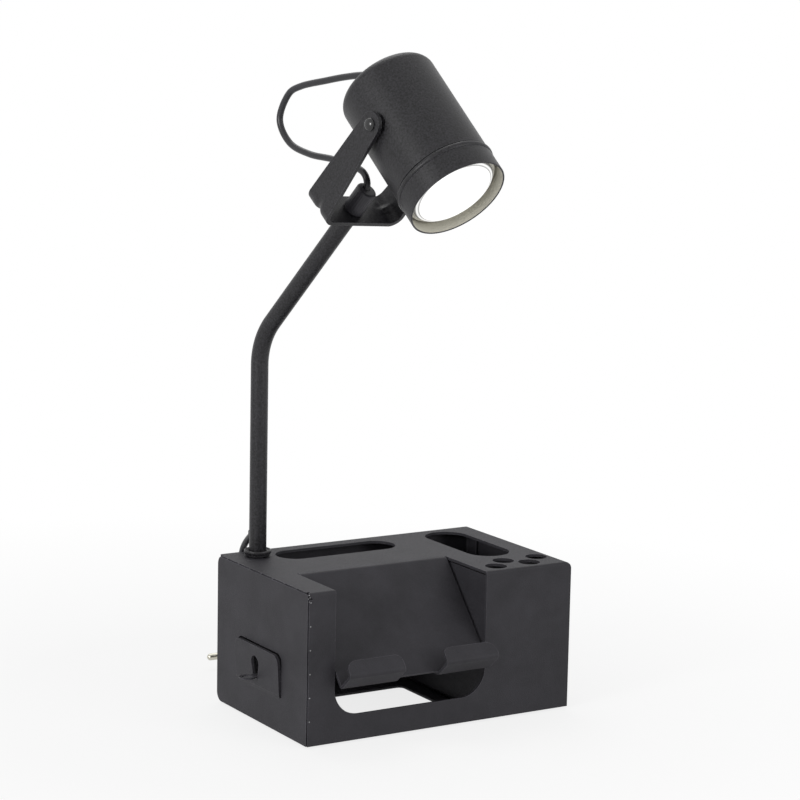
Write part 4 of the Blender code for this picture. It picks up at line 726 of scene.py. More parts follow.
def fine_texture_powder_coat(name, colour, lump):
    """Polyester powder, sprayed on flat sheet and baked: to the eye a dry black with a fine soft speckle.

    The real lumps are about 0.2 mm across. They are drawn three times as coarse, so that they show.
    """
    settings = {"IOR": 1.5, "Specular IOR Level": 0.22}
    tones = shades(colour, 0.7, 1.3)
    # The pale edge colour, five times the coat's, is partly wear and partly a painted edge highlight
    return grained(name, settings, tones, (0.5, 0.68), lump, 0.12 * MM, 0.5, wear_and_edge_highlight=shades(colour, 0, 5)[1])


def coarse_texture_powder_coat(name, colour, lump):
    """A coarser powder on turned and bent metal: soft highlights that break into small bright grains.

    The real lumps are about 0.4 mm across. They are drawn two and a half times as coarse, so that they show.
    """
    settings = {"IOR": 1.5, "Specular IOR Level": 0.34}
    tones = shades(colour, 0.08, 0.8)
    # The pale edge colour, four times the coat's, is partly wear and partly a painted edge highlight
    return grained(name, settings, tones, (0.36, 0.5), lump, 0.1 * MM, 0.9, wear_and_edge_highlight=shades(colour, 0, 4)[1])


def rubbed_bare_steel(name, colour):
    """Steel where the powder has rubbed off a seam's bridges: small light grey marks with a dull shine."""
    settings = {"Metallic": 0.6}
    return grained(name, settings, shades(colour, 0.75, 1.0), (0.35, 0.5), 0.3 * MM, 0.02 * MM)


def stove_enamel(name, colour, lump):
    """Cream lining of the ring, sprayed thin: a satin pale surface with a faint orange peel."""
    tones = shades(colour, 0.84, 1.0)
    return grained(name, {"IOR": 1.5}, tones, (0.36, 0.5), lump, 0.06 * MM, 0.6, 9 * MM)


def moulded_plastic(name, colour, rough, lump=0.5 * MM):
    """Injection-moulded nylon or PBT from a spark-eroded tool: an even satin with a very fine grain."""
    settings = {"IOR": 1.53, "Specular IOR Level": 0.35}
    return grained(name, settings, shades(colour, 0.9, 1.2), (rough - 0.06, rough + 0.08), lump, 0.04 * MM)


def extruded_sheath(name, colour):
    """Extruded PVC cable sheath: smooth and slightly glossy, with a line of light and a little dust."""
    settings = {"IOR": 1.42, "Specular IOR Level": 0.5}
    return grained(name, settings, shades(colour, 0.85, 1.3), (0.3, 0.36), 4 * MM, 0.01 * MM)


def cast_rubber(name, colour):
    """Compression-moulded rubber: a dry black with dust in its pores."""
    settings = {"IOR": 1.52, "Specular IOR Level": 0.3}
    return grained(name, settings, shades(colour, 1.0, 1.8), (0.7, 0.85), 0.6 * MM, 0.04 * MM, 0.5)


def plated_metal(name, colour, rough, streak=0.5 * MM):
    """Steel or brass with a thin electroplated layer: a bright grey metal with faint drawing lines."""
    tones = shades(colour, 0.8, 1.0)
    spread = (rough - 0.08, rough + 0.1)
    return grained(name, {"Metallic": 1.0}, tones, spread, streak, 0.005 * MM, 0.2, 4 * MM, (1, 1, 0.08))


def blackened_screw_steel(name, colour):
    """Black-oxidised steel, oiled: a small black dome with one small clear highlight."""
    settings = {"IOR": 1.5, "Specular IOR Level": 0.6}
    return grained(name, settings, shades(colour, 1.0, 1.4), (0.18, 0.24), 1.5 * MM, 0.004 * MM)


def glazed_ceramic(name, colour):
    """Pressed steatite of a lampholder, glazed: an off-white gloss with small specks."""
    return grained(name, {"IOR": 1.54}, shades(colour, 0.82, 1.0), (0.2, 0.32), 1.2 * MM, 0.01 * MM, 0.7)


def lit_frosted_lens(name, colour, glow):
    """Frosted polycarbonate lens with the lamp on: white all over, with thin grey rings near its edge.

    The rings follow the mesh's own value of how far a point lies from the axis, as a share of the radius.
    The darkest ring, at the very edge, is painted shade where the lens meets the lining.
    """
    settings = {"IOR": 1.55, "Emission Strength": glow}
    material = grained(name, settings, shades(colour, 0.28, 0.32), (0.4, 0.5), 0.8 * MM, 0.01 * MM)
    tree = material.node_tree
    out = node(tree, "ShaderNodeAttribute", {"attribute_name": "from_axis"}).outputs["Fac"]
    ramp = node(tree, "ShaderNodeValToRGB", None, {"Fac": out})
    # The last stop paints a dark shade at the lens's edge, where it meets the lining
    stops = [(0.0, 1.0), (0.88, 1.0), (0.9, 0.3), (0.915, 0.3), (0.93, 0.85), (0.955, 0.75), (0.97, 0.05)]
    for place, _ in stops[2:]:
        ramp.color_ramp.elements.new(place)
    for stop, (place, level) in zip(ramp.color_ramp.elements, stops):
        stop.position = place
        stop.color = (level, level, 0.99 * level, 1.0)
    tree.links.new(ramp.outputs["Color"], tree.nodes["Principled BSDF"].inputs["Emission Color"])
    return material


# Settings that a user would change


def colour_setting(name, description, code):
    """A colour, given as an sRGB hex code."""
    return bpy.props.FloatVectorProperty(
        name=name,
        description=description,
        subtype="COLOR",
        size=3,
        min=0.0,
        max=1.0,
        default=linear(code),
    )


def power_setting(name, description, watts):
    """The power of a light."""
    return bpy.props.FloatProperty(
        name=name,
        description=description,
        unit="POWER",
        min=0.0,
        max=500.0,
        default=watts,
    )


class DeskLampFinishes(bpy.types.PropertyGroup):
    """Colours and grain of the finishes."""

    powder_coat: colour_setting("Powder coat", "Colour of the steel's powder coat", "2f2e32")
    powder_lump: bpy.props.FloatProperty(
        name="Powder grain",
        description="Width of a lump in the powder coat's fine texture",
        unit="LENGTH",
        min=0.1 * MM,
        max=3 * MM,
        default=0.6 * MM,
    )
    lining: colour_setting("Ring lining", "Colour inside the head's front ring", "c6c3b5")
    plastic: colour_setting("Black plastic", "Colour of the cord grip, switch and plug", "313035")
    sheath: colour_setting("Cable sheath", "Colour of the cable", "262629")
    glow: bpy.props.FloatProperty(
        name="Lens glow",
        description="Strength of the lit lens",
        min=0.0,
        max=10.0,
        default=1.0,
    )


class DeskLampSizes(bpy.types.PropertyGroup):
    """Sizes of finishing details."""

    edge_break: bpy.props.FloatProperty(
        name="Edge break",
        description="Width of the rounding on the sheet steel's edges",
        unit="LENGTH",
        min=0.05 * MM,
        max=0.6 * MM,
        default=0.3 * MM,
    )
    rib_depth: bpy.props.FloatProperty(
        name="Grip rib depth",
        description="Depth of the fine ribs on the cord grip",
        unit="LENGTH",
        min=0.0,
        max=0.3 * MM,
        default=0.08 * MM,
    )
    rib_count: bpy.props.IntProperty(
        name="Grip ribs",
        description="Number of ribs round the cord grip",
        min=0,
        max=60,
        default=28,
    )


class DeskLampStudio(bpy.types.PropertyGroup):
    """Light and floor of the studio."""

    sky: bpy.props.FloatProperty(
        name="Sky level",
        description="Strength of the even light from all round",
        min=0.0,
        max=2.0,
        default=0.44,
    )
    key: power_setting("Key light", "Power of the soft light at the left", 23.0)
    fill: power_setting("Fill light", "Power of the soft light at the front right", 11.0)
    top: power_setting("Top light", "Power of the soft light above and behind", 8.0)


def looks(context):
    """The materials of the whole object, made once."""
    finishes = context.scene.desk_lamp_finishes
    powder = tuple(finishes.powder_coat)
    fine, coarse = finishes.powder_lump, COARSE_LUMP_SHARE * finishes.powder_lump
    recipes = {
        "powder": ("fine_texture_powder_coat", fine_texture_powder_coat, powder, fine),
        "coarse": ("coarse_texture_powder_coat", coarse_texture_powder_coat, powder, coarse),
        "bare": ("rubbed_bare_steel", rubbed_bare_steel, linear("929294")),
        "lining": ("stove_enamelled_lining", stove_enamel, tuple(finishes.lining), 0.9 * MM),
        "plastic": ("moulded_black_nylon", moulded_plastic, tuple(finishes.plastic), 0.46),
        "sheath": ("extruded_pvc_sheath", extruded_sheath, tuple(finishes.sheath)),
        "rubber": ("moulded_rubber", cast_rubber, linear("1c1c1e")),
        "zinc": ("zinc_plated_steel", plated_metal, linear("a9aaac"), 0.36),
        "nickel": ("nickel_plated_brass", plated_metal, linear("c6c1b3"), 0.26),
        "screw": ("blackened_screw_steel", blackened_screw_steel, linear("0d0d0f")),
        "ceramic": ("glazed_steatite", glazed_ceramic, linear("e6e2d8")),
        "lamp": ("moulded_white_pbt", moulded_plastic, linear("d9d7ce"), 0.4, 0.7 * MM),
        "lens": ("frosted_lens_lit", lit_frosted_lens, linear("ffffff"), finishes.glow),
    }
    made = {}
    for key, (name, maker, *values) in recipes.items():
        made[key] = bpy.data.materials.get(name) or maker(name, *values)
    return made


# The cord, its switch, plug and ties


def exit_line(start, end, steps):
    """The cord's axis where it turns out of the stem: a quarter bend's points between two angles."""
    angle = np.linspace(start, end, steps + 1)
    level = TOP + EXIT_ABOVE_TOP + EXIT_BEND_RADIUS * math.sin(EXIT_ANGLE)
    out, down = EXIT_BEND_RADIUS * (1 - np.cos(angle)), EXIT_BEND_RADIUS * np.sin(angle)
    return np.column_stack([np.zeros_like(angle), out, level - down])


def beside(place, offsets):
    """The route's points beside a place."""
    return np.asarray(place) + MM * np.array(offsets)


def coil_line(points_per_turn):
    """The coil's axis. It winds in and out in flat layers, and climbs one layer in each reversing half turn.

    The radius goes down and up evenly with the angle, 2.5 turns each way.
    """
    full = 2 * math.pi * COIL_TURNS_PER_LAYER
    steps = round(COIL_TURNS_PER_LAYER * COIL_LAYERS * points_per_turn)
    theta = np.linspace(0.0, full * COIL_LAYERS, steps + 1)
    inward = 1 - np.abs((theta / full) % 2 - 1)
    radius = COIL_OUTER_RADIUS - COIL_PITCH * COIL_TURNS_PER_LAYER * inward
    layers = np.arange(1, COIL_LAYERS)[:, None]
    climb = np.clip((theta - layers * full) / math.pi + 0.5, 0.0, 1.0).sum(axis=0)
    angle = theta - math.pi / 2
    height = CORD_RADIUS + TIE_THICKNESS + GAP + COIL_PITCH * climb
    x, y = COIL_CENTRE
    coil = np.column_stack([x + radius * np.cos(angle), y + radius * np.sin(angle), height])
    lead = np.array([2 * CORD_RADIUS, 0.0, 0.0])
    return np.vstack([coil[:1] - lead, coil, coil[-1:] + lead])


def mains_route(spacing):
    """The mains cord from the stem, through the switch and the coil, to the plug."""
    leaves = exit_line(EXIT_ANGLE, 0.0, 6)[0]
    switch_in = (SWITCH_START, SWITCH_Y, SWITCH_HEIGHT / 2)
    switch_out = (SWITCH_START + SWITCH_LENGTH, SWITCH_Y, SWITCH_HEIGHT / 2)
    plug = (PLUG_ENTRY_X, PLUG_Y, PLUG_HEIGHT / 2)
    coil = coil_line(72)
    drop = np.vstack([leaves[None], beside(leaves, DROP_FROM_STEM), beside(switch_in, DROP_TO_SWITCH)])
    lead = np.vstack([beside(switch_out, LEAD_FROM_SWITCH), beside(coil[0], LEAD_TO_COIL)])
    tail = np.vstack([beside(coil[-1], END_FROM_COIL), beside(plug, END_TO_PLUG)])
    drop, lead, tail = (smooth_route(stretch, spacing) for stretch in (drop, lead, tail))
    route = np.vstack([drop, lead, coil, tail])
    route[:, 2] = np.maximum(route[:, 2], CORD_RADIUS)
    return route


def head_route(spacing):
    """The cord's loop from inside the grip to the bush in the head's rear."""
    split = THREAD_TOP + 2 * GAP
    head_in_yoke = shift(0, 0, YOKE_ARM) @ turn_about("X", HEAD_TILT)
    rear = moved(beside((0.0, 0.0, -HEAD_REAR), HEAD_CORD_TO_HEAD), head_in_yoke)
    route = np.vstack([[(0.0, 0.0, split)], beside((0.0, 0.0, GRIP_TOP), HEAD_CORD_FROM_GRIP), rear])
    return moved(smooth_route(route, spacing), YOKE_PLACE)


def switch_pieces(look):
    """The in-line switch: two half shells with rolled edges, the rocker's well and the cord's sockets."""
    x0, x1 = SWITCH_START, SWITCH_START + SWITCH_LENGTH
    y0, y1 = SWITCH_Y - SWITCH_WIDTH / 2, SWITCH_Y + SWITCH_WIDTH / 2
    outline = rectangle(x0, y0, x1, y1, SWITCH_CORNER_RADIUS, 12)
    middle = SWITCH_HEIGHT / 2
    centre = (x0 + x1) / 2
    pivot = SWITCH_HEIGHT - ROCKER_AXIS_DEPTH
    well_radius = ROCKER_RADIUS + GAP
    angle = math.pi + np.linspace(0, math.pi, 33)
    bowl = np.column_stack([centre + well_radius * np.cos(angle), pivot + well_radius * np.sin(angle)])
    lid = SWITCH_HEIGHT + OVERRUN
    well = np.vstack([[(centre - well_radius, lid)], bowl, [(centre + well_radius, lid)]])
    half = ROCKER_WIDTH / 2 + GAP
    cuts = [drawn(well, "Y", SWITCH_Y - half, SWITCH_Y + half)]
    socket = circle(SWITCH_Y, middle, CORD_RADIUS + GAP, 32)
    for start in (x0 - OVERRUN, x1 - SWITCH_SOCKET_DEPTH):
        cuts.append(drawn(socket, "X", start, start + SWITCH_SOCKET_DEPTH + OVERRUN))
    roll, seam = 2.2 * MM, 0.25 * MM
    lower = body("switch_lower_case", moulded(outline, 0.0, middle - GAP / 2, seam, 3, roll), look)
    upper = body("switch_upper_case", moulded(outline, middle + GAP / 2, SWITCH_HEIGHT, roll, 6, seam), look)
    for case, stands_for in ((lower, "switch_lower"), (upper, "switch_upper")):
        shaded(broken_edges(cut(case, *cuts), 0.2 * MM), weighted=True)
        fitted(case, "organizer", stands_for, slot="black_plastic")
    rocker = sheet_copy("switch_rocker", "rocker_button", look, 0.4 * MM)
    fitted(rocker, "rocker", "switch_rocker", slot="black_plastic")
    return [lower, upper, rocker]


def plug_pieces(look, metal):
    """The moulded flat plug, its tapered and ringed strain relief, and two round pins with domed ends."""
    middle = PLUG_HEIGHT / 2
    start = PLUG_ENTRY_X - RELIEF_LENGTH - GAP
    shoulder, nose = start - PLUG_LENGTH / 3, start - PLUG_LENGTH
    half = {"tail": 7.0 * MM, "wide": 17.75 * MM, "nose": 13.0 * MM}
    corner, shoulder_radius, roll = 1.5 * MM, 4.5 * MM, 1.4 * MM
    outline = rounded(
        [
            (start, PLUG_Y - half["tail"], corner),
            (start, PLUG_Y + half["tail"], corner),
            (shoulder, PLUG_Y + half["wide"], shoulder_radius),
            (nose, PLUG_Y + half["nose"], corner),
            (nose, PLUG_Y - half["nose"], corner),
            (shoulder, PLUG_Y - half["wide"], shoulder_radius),
        ],
        8,
    )
    shell = body("plug_moulding", moulded(outline, 0.0, PLUG_HEIGHT, roll, 6), look)
    fitted(shaded(shell, weighted=True), "organizer", "plug_body", slot="black_plastic")
    root, end = 4.2, 2.9  # the relief's radii in millimetres, at the plug and at its own end
    groove_depth, groove_pitch, plain_root, plain_end = 0.5 * MM, 2.5 * MM, 2 * MM, MM
    along = np.linspace(0.0, RELIEF_LENGTH, 121)
    taper = root * MM + (end - root) * MM * along / RELIEF_LENGTH
    square_wave = 0.5 + 0.5 * np.sign(np.sin(along * 2 * math.pi / groove_pitch))
    groove = groove_depth * square_wave * (along > plain_root)
    outer = np.column_stack([taper - groove * (along < RELIEF_LENGTH - plain_end), along])
    bore = CORD_RADIUS + 0.1 * MM
    shape = turned(np.vstack([outer[::-1], [(bore, 0.0), (bore, RELIEF_LENGTH)]]), 40)
    seat = shift(start + GAP, PLUG_Y, middle) @ turn_about("Y", math.pi / 2)
    sleeve = body("plug_strain_relief", seated(shape, seat), look)
    fitted(shaded(sleeve), "organizer", "plug_relief", slot="black_plastic")
    made = [shell, sleeve]
    tip = np.linspace(0, math.pi / 2, 7)
    dome = np.column_stack([PIN_RADIUS * np.cos(tip), PIN_STRAIGHT + PIN_RADIUS * np.sin(tip)])
    foot, top = [(0.0, 0.0), (PIN_RADIUS, 0.0)], [(0.0, PIN_STRAIGHT + PIN_RADIUS)]
    shape = turned(np.vstack([foot, dome[:-1], top]), 32)
    for k, side in enumerate((-1, 1)):
        seat = shift(nose - GAP, PLUG_Y + side * PIN_SPREAD, middle) @ turn_about("Y", -math.pi / 2)
        pin = body(f"plug_contact_{k + 1}", seated(shape, seat), metal)
        fitted(shaded(pin), "organizer", f"plug_pin_{k + 1}", slot="nickel_plated_brass")
        made.append(pin)
    return made


class OBJECT_OT_desk_lamp_camera(bpy.types.Operator):
    """Sets the camera where the photograph was taken from."""

    bl_idname = "object.desk_lamp_camera"
    bl_label = "Camera"

    def execute(self, context):
        yaw, pitch, roll = CAMERA_YAW, CAMERA_PITCH, CAMERA_ROLL
        ahead = np.array([math.sin(yaw) * math.cos(pitch), math.cos(yaw) * math.cos(pitch), -math.sin(pitch)])
        right = np.array([math.cos(yaw), -math.sin(yaw), 0.0])
        up = np.cross(right, ahead)
        matrix = np.eye(4)
        matrix[:3, 0] = math.cos(roll) * right + math.sin(roll) * up
        matrix[:3, 1] = math.cos(roll) * up - math.sin(roll) * right
        matrix[:3, 2] = -ahead
        matrix[:3, 3] = CAMERA_PLACE
        data = bpy.data.cameras.new("camera")
        data.lens = CAMERA_LENS
        camera = bpy.data.objects.new("camera", data)
        context.scene.collection.objects.link(camera)
        camera.matrix_world = matrix.T.tolist()
        context.scene.camera = camera
        return {"FINISHED"}


class OBJECT_OT_desk_lamp_cords(bpy.types.Operator):
    """Makes the mains cord with its switch, coil, ties and plug, and the cord's loop to the head."""

    bl_idname = "object.desk_lamp_cords"
    bl_label = "Cords, switch and plug"

    def execute(self, context):
        look = looks(context)
        path = mains_route(MAINS_SPACING)
        mains = body("mains_cord", swept(path, CORD_RADIUS, 14), look["sheath"])
        fitted(
            shaded(mains, 60.0),
            "organizer",
            "mains_cord_drop",
            "mains_cord_lead",
            "mains_cord_coil",
            "mains_cord_end",
            slot="cable_sheath",
        )
        carried = switch_pieces(look["plastic"]) + plug_pieces(look["plastic"], look["nickel"])
        for name in ("coil_tie_1", "coil_tie_2"):
            tie = sheet_copy(name, name + "_strap", look["plastic"], 0.2 * MM)
            carried.append(fitted(tie, "organizer", name, slot="black_plastic"))
        path = head_route(LOOP_SPACING)
        loop = body("head_loop_cord", swept(path, CORD_RADIUS, 24), look["sheath"])
        shaded(loop, 60.0)
        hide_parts("head_cord")
        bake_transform(loop)
        refinished("stem_cord", look["sheath"])
        return {"FINISHED"}


# The organizer


def mitre_cut(axis, corner, towards, low, high, setback):
    """What a mitre at 45 degrees takes from a plate's edge.

    The two signs in towards say which way the plate runs from the corner, and which way is inward.
    """
    (a, b), (side_a, side_b) = corner, towards
    deep = SHEET + OVERRUN
    outline = [
        (a - side_a * deep, b - side_b * OVERRUN),
        (a + side_a * (setback - OVERRUN), b - side_b * OVERRUN),
        (a + side_a * (setback + deep), b + side_b * deep),
        (a - side_a * deep, b + side_b * deep),
    ]
    return drawn(outline, axis, low, high)


def corner_waste(corner, towards, radius):
    """What rounding a corner takes away: the corner's square, less a quarter circle."""
    (a, b), (side_a, side_b) = corner, towards
    angle = np.linspace(0, math.pi / 2, 13)
    arc = [a + side_a * radius * (1 - np.sin(angle)), b + side_b * radius * (1 - np.cos(angle))]
    out_a, out_b = a - side_a * OVERRUN, b - side_b * OVERRUN
    outside = [(out_a, b + side_b * radius), (out_a, out_b), (a + side_a * radius, out_b)]
    return np.vstack([np.column_stack(arc), outside])


def seam_groove(axis, corner, towards, low, high):
    """A shallow groove along the sheet's outer corner, which a seam shows as a dark line."""
    (a, b), (side_a, side_b) = corner, towards
    near = a - side_a * OVERRUN
    far = a - side_a * (SEAM_OPENING - SEAM_GAP * math.sqrt(2)) + side_a * SEAM_GROOVE
    outline = [
        (near, b - side_b * OVERRUN),
        (far, b - side_b * OVERRUN),
        (far, b + side_b * SEAM_DEPTH),
        (near, b + side_b * SEAM_DEPTH),
    ]
    return drawn(outline, axis, low, high)


def bridge_places(low, high):
    """Where a seam's short bridges lie along it."""
    return np.arange(low + FIRST_BRIDGE, high - 2 * BRIDGE_LENGTH, BRIDGE_PITCH)


def stitched_edge(axis, corner, towards, low, high, bridges=True):
    """The cuts of a seam: a narrow mitre, and a groove at the outside that short bridges may break."""
    setback = SEAM_GAP * math.sqrt(2) - SEAM_OPENING
    cuts = [mitre_cut(axis, corner, towards, low - OVERRUN, high + OVERRUN, setback)]
    middles = bridge_places(low, high) if bridges else np.zeros(0)
    starts = np.concatenate([[low - OVERRUN], middles + BRIDGE_LENGTH / 2])
    ends = np.concatenate([middles - BRIDGE_LENGTH / 2, [high + OVERRUN]])
    return cuts + [seam_groove(axis, corner, towards, a, b) for a, b in zip(starts, ends)]


def bead_shape(place, radius):
    """A small ball of rings: r cos b out and r sin b up, as b goes from pole to pole."""
    b = np.linspace(math.pi / 2, -math.pi / 2, 9)
    out = radius * np.cos(b)
    out[[0, -1]] = 0.0
    points, faces = turned(np.column_stack([out, radius * np.sin(b)]), 12)
    return points + np.asarray(place), faces


class OBJECT_OT_desk_lamp_shell(bpy.types.Operator):
    """Makes the organizer's front, top and right side as one folded sheet, with its window, slots and holes.

    The sheet is the common part of two drawn outlines, one with the side fold and one with the front fold,
    less the first a sheet's thickness further in. A grid can't hold its openings, so they are cut.
    """

    bl_idname = "object.desk_lamp_shell"
    bl_label = "Organizer front, top and side"

    def execute(self, context):
        look = looks(context)["powder"]
        edge = context.scene.desk_lamp_sizes.edge_break
        side = [(LEFT, FLOOR, 0), (RIGHT, FLOOR, 0), (RIGHT, TOP, SIDE_FOLD_RADIUS), (LEFT, TOP, 0)]
        shell = body("organizer_shell", drawn(rounded(side, 12), "Y", FRONT, REAR), look)
        front = [(FRONT, FLOOR, 0), (REAR, FLOOR, 0), (REAR, TOP, 0), (FRONT, TOP, FRONT_FOLD_RADIUS)]
        cut(shell, drawn(rounded(front, 8), "X", LEFT - OVERRUN, RIGHT + OVERRUN), operation="INTERSECT")
        inside = [
            (LEFT - OVERRUN, FLOOR - OVERRUN, 0),
            (RIGHT - SHEET, FLOOR - OVERRUN, 0),
            (RIGHT - SHEET, TOP - SHEET, SIDE_FOLD_RADIUS - SHEET),
            (LEFT - OVERRUN, TOP - SHEET, 0),
        ]
        x0 = LEFT + WINDOW_FROM_LEFT
        x1 = x0 + WINDOW_WIDTH
        sill = FLOOR + WINDOW_SILL
        window = [(x0, sill, WINDOW_CORNER_RADIUS), (x1, sill, WINDOW_CORNER_RADIUS)]
        window += [(x1, TOP + OVERRUN, 0), (x0, TOP + OVERRUN, 0)]
        low, high = TOP - SHEET - OVERRUN, TOP + OVERRUN
        left_ends = [(LEFT + x, FRONT + LEFT_SLOT_Y) for x in LEFT_SLOT_ENDS]
        right_ends = [(LEFT + RIGHT_SLOT_X, FRONT + y) for y in RIGHT_SLOT_ENDS]
        slots = [stadium(*left_ends, LEFT_SLOT_RADIUS), stadium(*right_ends, RIGHT_SLOT_RADIUS)]
        holes = [circle(LEFT + x, FRONT + y, PEN_HOLE_RADIUS) for x, y in PEN_HOLES]
        holes.append(circle(0.0, 0.0, STEM_RADIUS + STEM_HOLE_CLEARANCE))
        cut(
            shell,
            drawn(rounded(inside, 12), "Y", FRONT + SHEET, REAR + OVERRUN),
            drawn(rounded(window, 24), "Y", FRONT - OVERRUN, FRONT + NOTCH_DEPTH),
            *[drawn(hole, "Z", low, high) for hole in slots + holes],
        )
        broken_edges(shell, edge)
        relief_cut = rectangle(LEFT - OVERRUN, TOP - CORNER_RELIEF, LEFT + CORNER_RELIEF, TOP + OVERRUN)
        rear_corner = corner_waste((REAR, TOP), (-1, -1), REAR_CORNER_RADIUS)
        top_corner = corner_waste((LEFT, REAR), (1, -1), REAR_CORNER_RADIUS / 2)
        cut(
            shell,
            *stitched_edge("Z", (LEFT, FRONT), (1, 1), FLOOR, TOP, bridges=False),
            *stitched_edge("Y", (LEFT, TOP), (1, -1), FRONT, REAR),
            drawn(relief_cut, "Y", FRONT - OVERRUN, FRONT + CORNER_RELIEF),
            drawn(rear_corner, "X", LEFT - OVERRUN, LEFT + SHEET),
            drawn(top_corner, "Z", TOP - SHEET - GAP, TOP + GAP),
        )
        shaded(shell, weighted=True)
        fitted(shell, "organizer", "front_panel", "top_shell", slot="powder_coated_steel")
        return {"FINISHED"}


def joined(shapes):
    """Several shapes as one."""
    starts = np.cumsum([0] + [len(points) for points, _ in shapes])
    faces = [[start + k for k in face] for (_, part), start in zip(shapes, starts) for face in part]
    return np.vstack([points for points, _ in shapes]), faces


def flap_stand(z):
    """How far the flap stands out at a height: a smooth joggle, then a straight lean."""
    start = FLAP_LOW - FLAP_JOGGLE_HEIGHT / 2
    share = np.clip((z - start) / FLAP_JOGGLE_HEIGHT, 0.0, 1.0)
    above = np.clip(z - FLAP_LOW - FLAP_JOGGLE_HEIGHT / 2, 0, None)
    return FLAP_JOGGLE * share**2 * (3 - 2 * share) + above * math.tan(FLAP_LEAN)


def close_flap(plate):
    """Narrows the slit round the lanced flap to what shows, sets the flap closer, and thins the cable eye.

    Inside the slit, places stretch from the flap's middle and foot until the slit is as narrow as it looks,
    and the stand at each height is multiplied by one share. The eye's bore widens by one factor.
    """
    x, y, z = places(plate).T.copy()
    middle = FLAP_FRONT + FLAP_LENGTH / 2
    half, high = FLAP_LENGTH / 2 - FLAP_SLIT, FLAP_HEIGHT - FLAP_SLIT
    inside = (np.abs(y - middle) < half + FLAP_SLACK) & (z > FLAP_LOW - FLAP_JOGGLE_HEIGHT / 2 - WELD)
    inside &= z < FLAP_LOW + high + FLAP_SLACK
    eye = inside & (x < LEFT - flap_stand(z) - GAP)
    across, along = x - (LEFT - flap_stand(EYE_PLACE[1]) - EYE_REACH + SHEET / 2), y - EYE_PLACE[0]
    away = np.hypot(across, along)
    bore = eye & (away < EYE_BORE_RADIUS + GAP)
    wider = np.where(bore, EYE_BORE_SHARE, 1.0)
    x = x + across * (wider - 1)
    y = y + along * (wider - 1)
    z = np.where(eye, EYE_PLACE[1] + (z - EYE_PLACE[1]) * EYE_THICKNESS_SHARE, z)
    x = x + np.where(inside, (1 - FLAP_STAND_SHARE) * flap_stand(z), 0.0)
    raised = inside & (z > FLAP_LOW - GAP) & ~eye
    y = np.where(raised, middle + (y - middle) * (FLAP_LENGTH / 2 - SLIT_SEEN) / half, y)
    z = np.where(raised, FLAP_LOW + (z - FLAP_LOW) * (FLAP_HEIGHT - SLIT_SEEN) / high, z)
    set_places(plate, np.column_stack([x, y, z]))


class OBJECT_OT_desk_lamp_plates(bpy.types.Operator):
    """Finishes the left side with its flap and eye, the rear, the floor, the inner wall and the cradle."""

    bl_idname = "object.desk_lamp_plates"
    bl_label = "Organizer plates"

    def execute(self, context):
        look = looks(context)
        edge = context.scene.desk_lamp_sizes.edge_break
        plates = {
            "left_panel": "left_side",
            "rear_panel": "rear_wall",
            "base_plate": "floor_plate",
            "divider_wall": "pen_wall",
            "phone_cradle": "phone_rest",
        }
        for cad_node, name in plates.items():
            plate = sheet_copy(cad_node, name, look["powder"], edge)
            if cad_node == "left_panel":
                close_flap(plate)
            fitted(plate, "organizer", cad_node, slot="powder_coated_steel")
        mark = (LEFT + BRIDGE_MARK_PLACE, FRONT + BRIDGE_BEAD_RADIUS / 2)
        beads = [bead_shape((*mark, z), BRIDGE_BEAD_RADIUS) for z in bridge_places(FLOOR, TOP)]
        for dx, dy, dz, radius in WORN_SPOTS:
            beads.append(bead_shape((LEFT + dx * MM, FRONT + dy * MM, TOP + dz * MM), radius * MM))
        marks = shaded(body("seam_bridge_marks", joined(beads), look["bare"]))
        fitted(marks, "organizer", slot="powder_coated_steel")
        for cad_node in ("foot_rear_left", "foot_rear_right", "foot_front_left", "foot_front_right"):
            refinished(cad_node, look["rubber"])
        return {"FINISHED"}


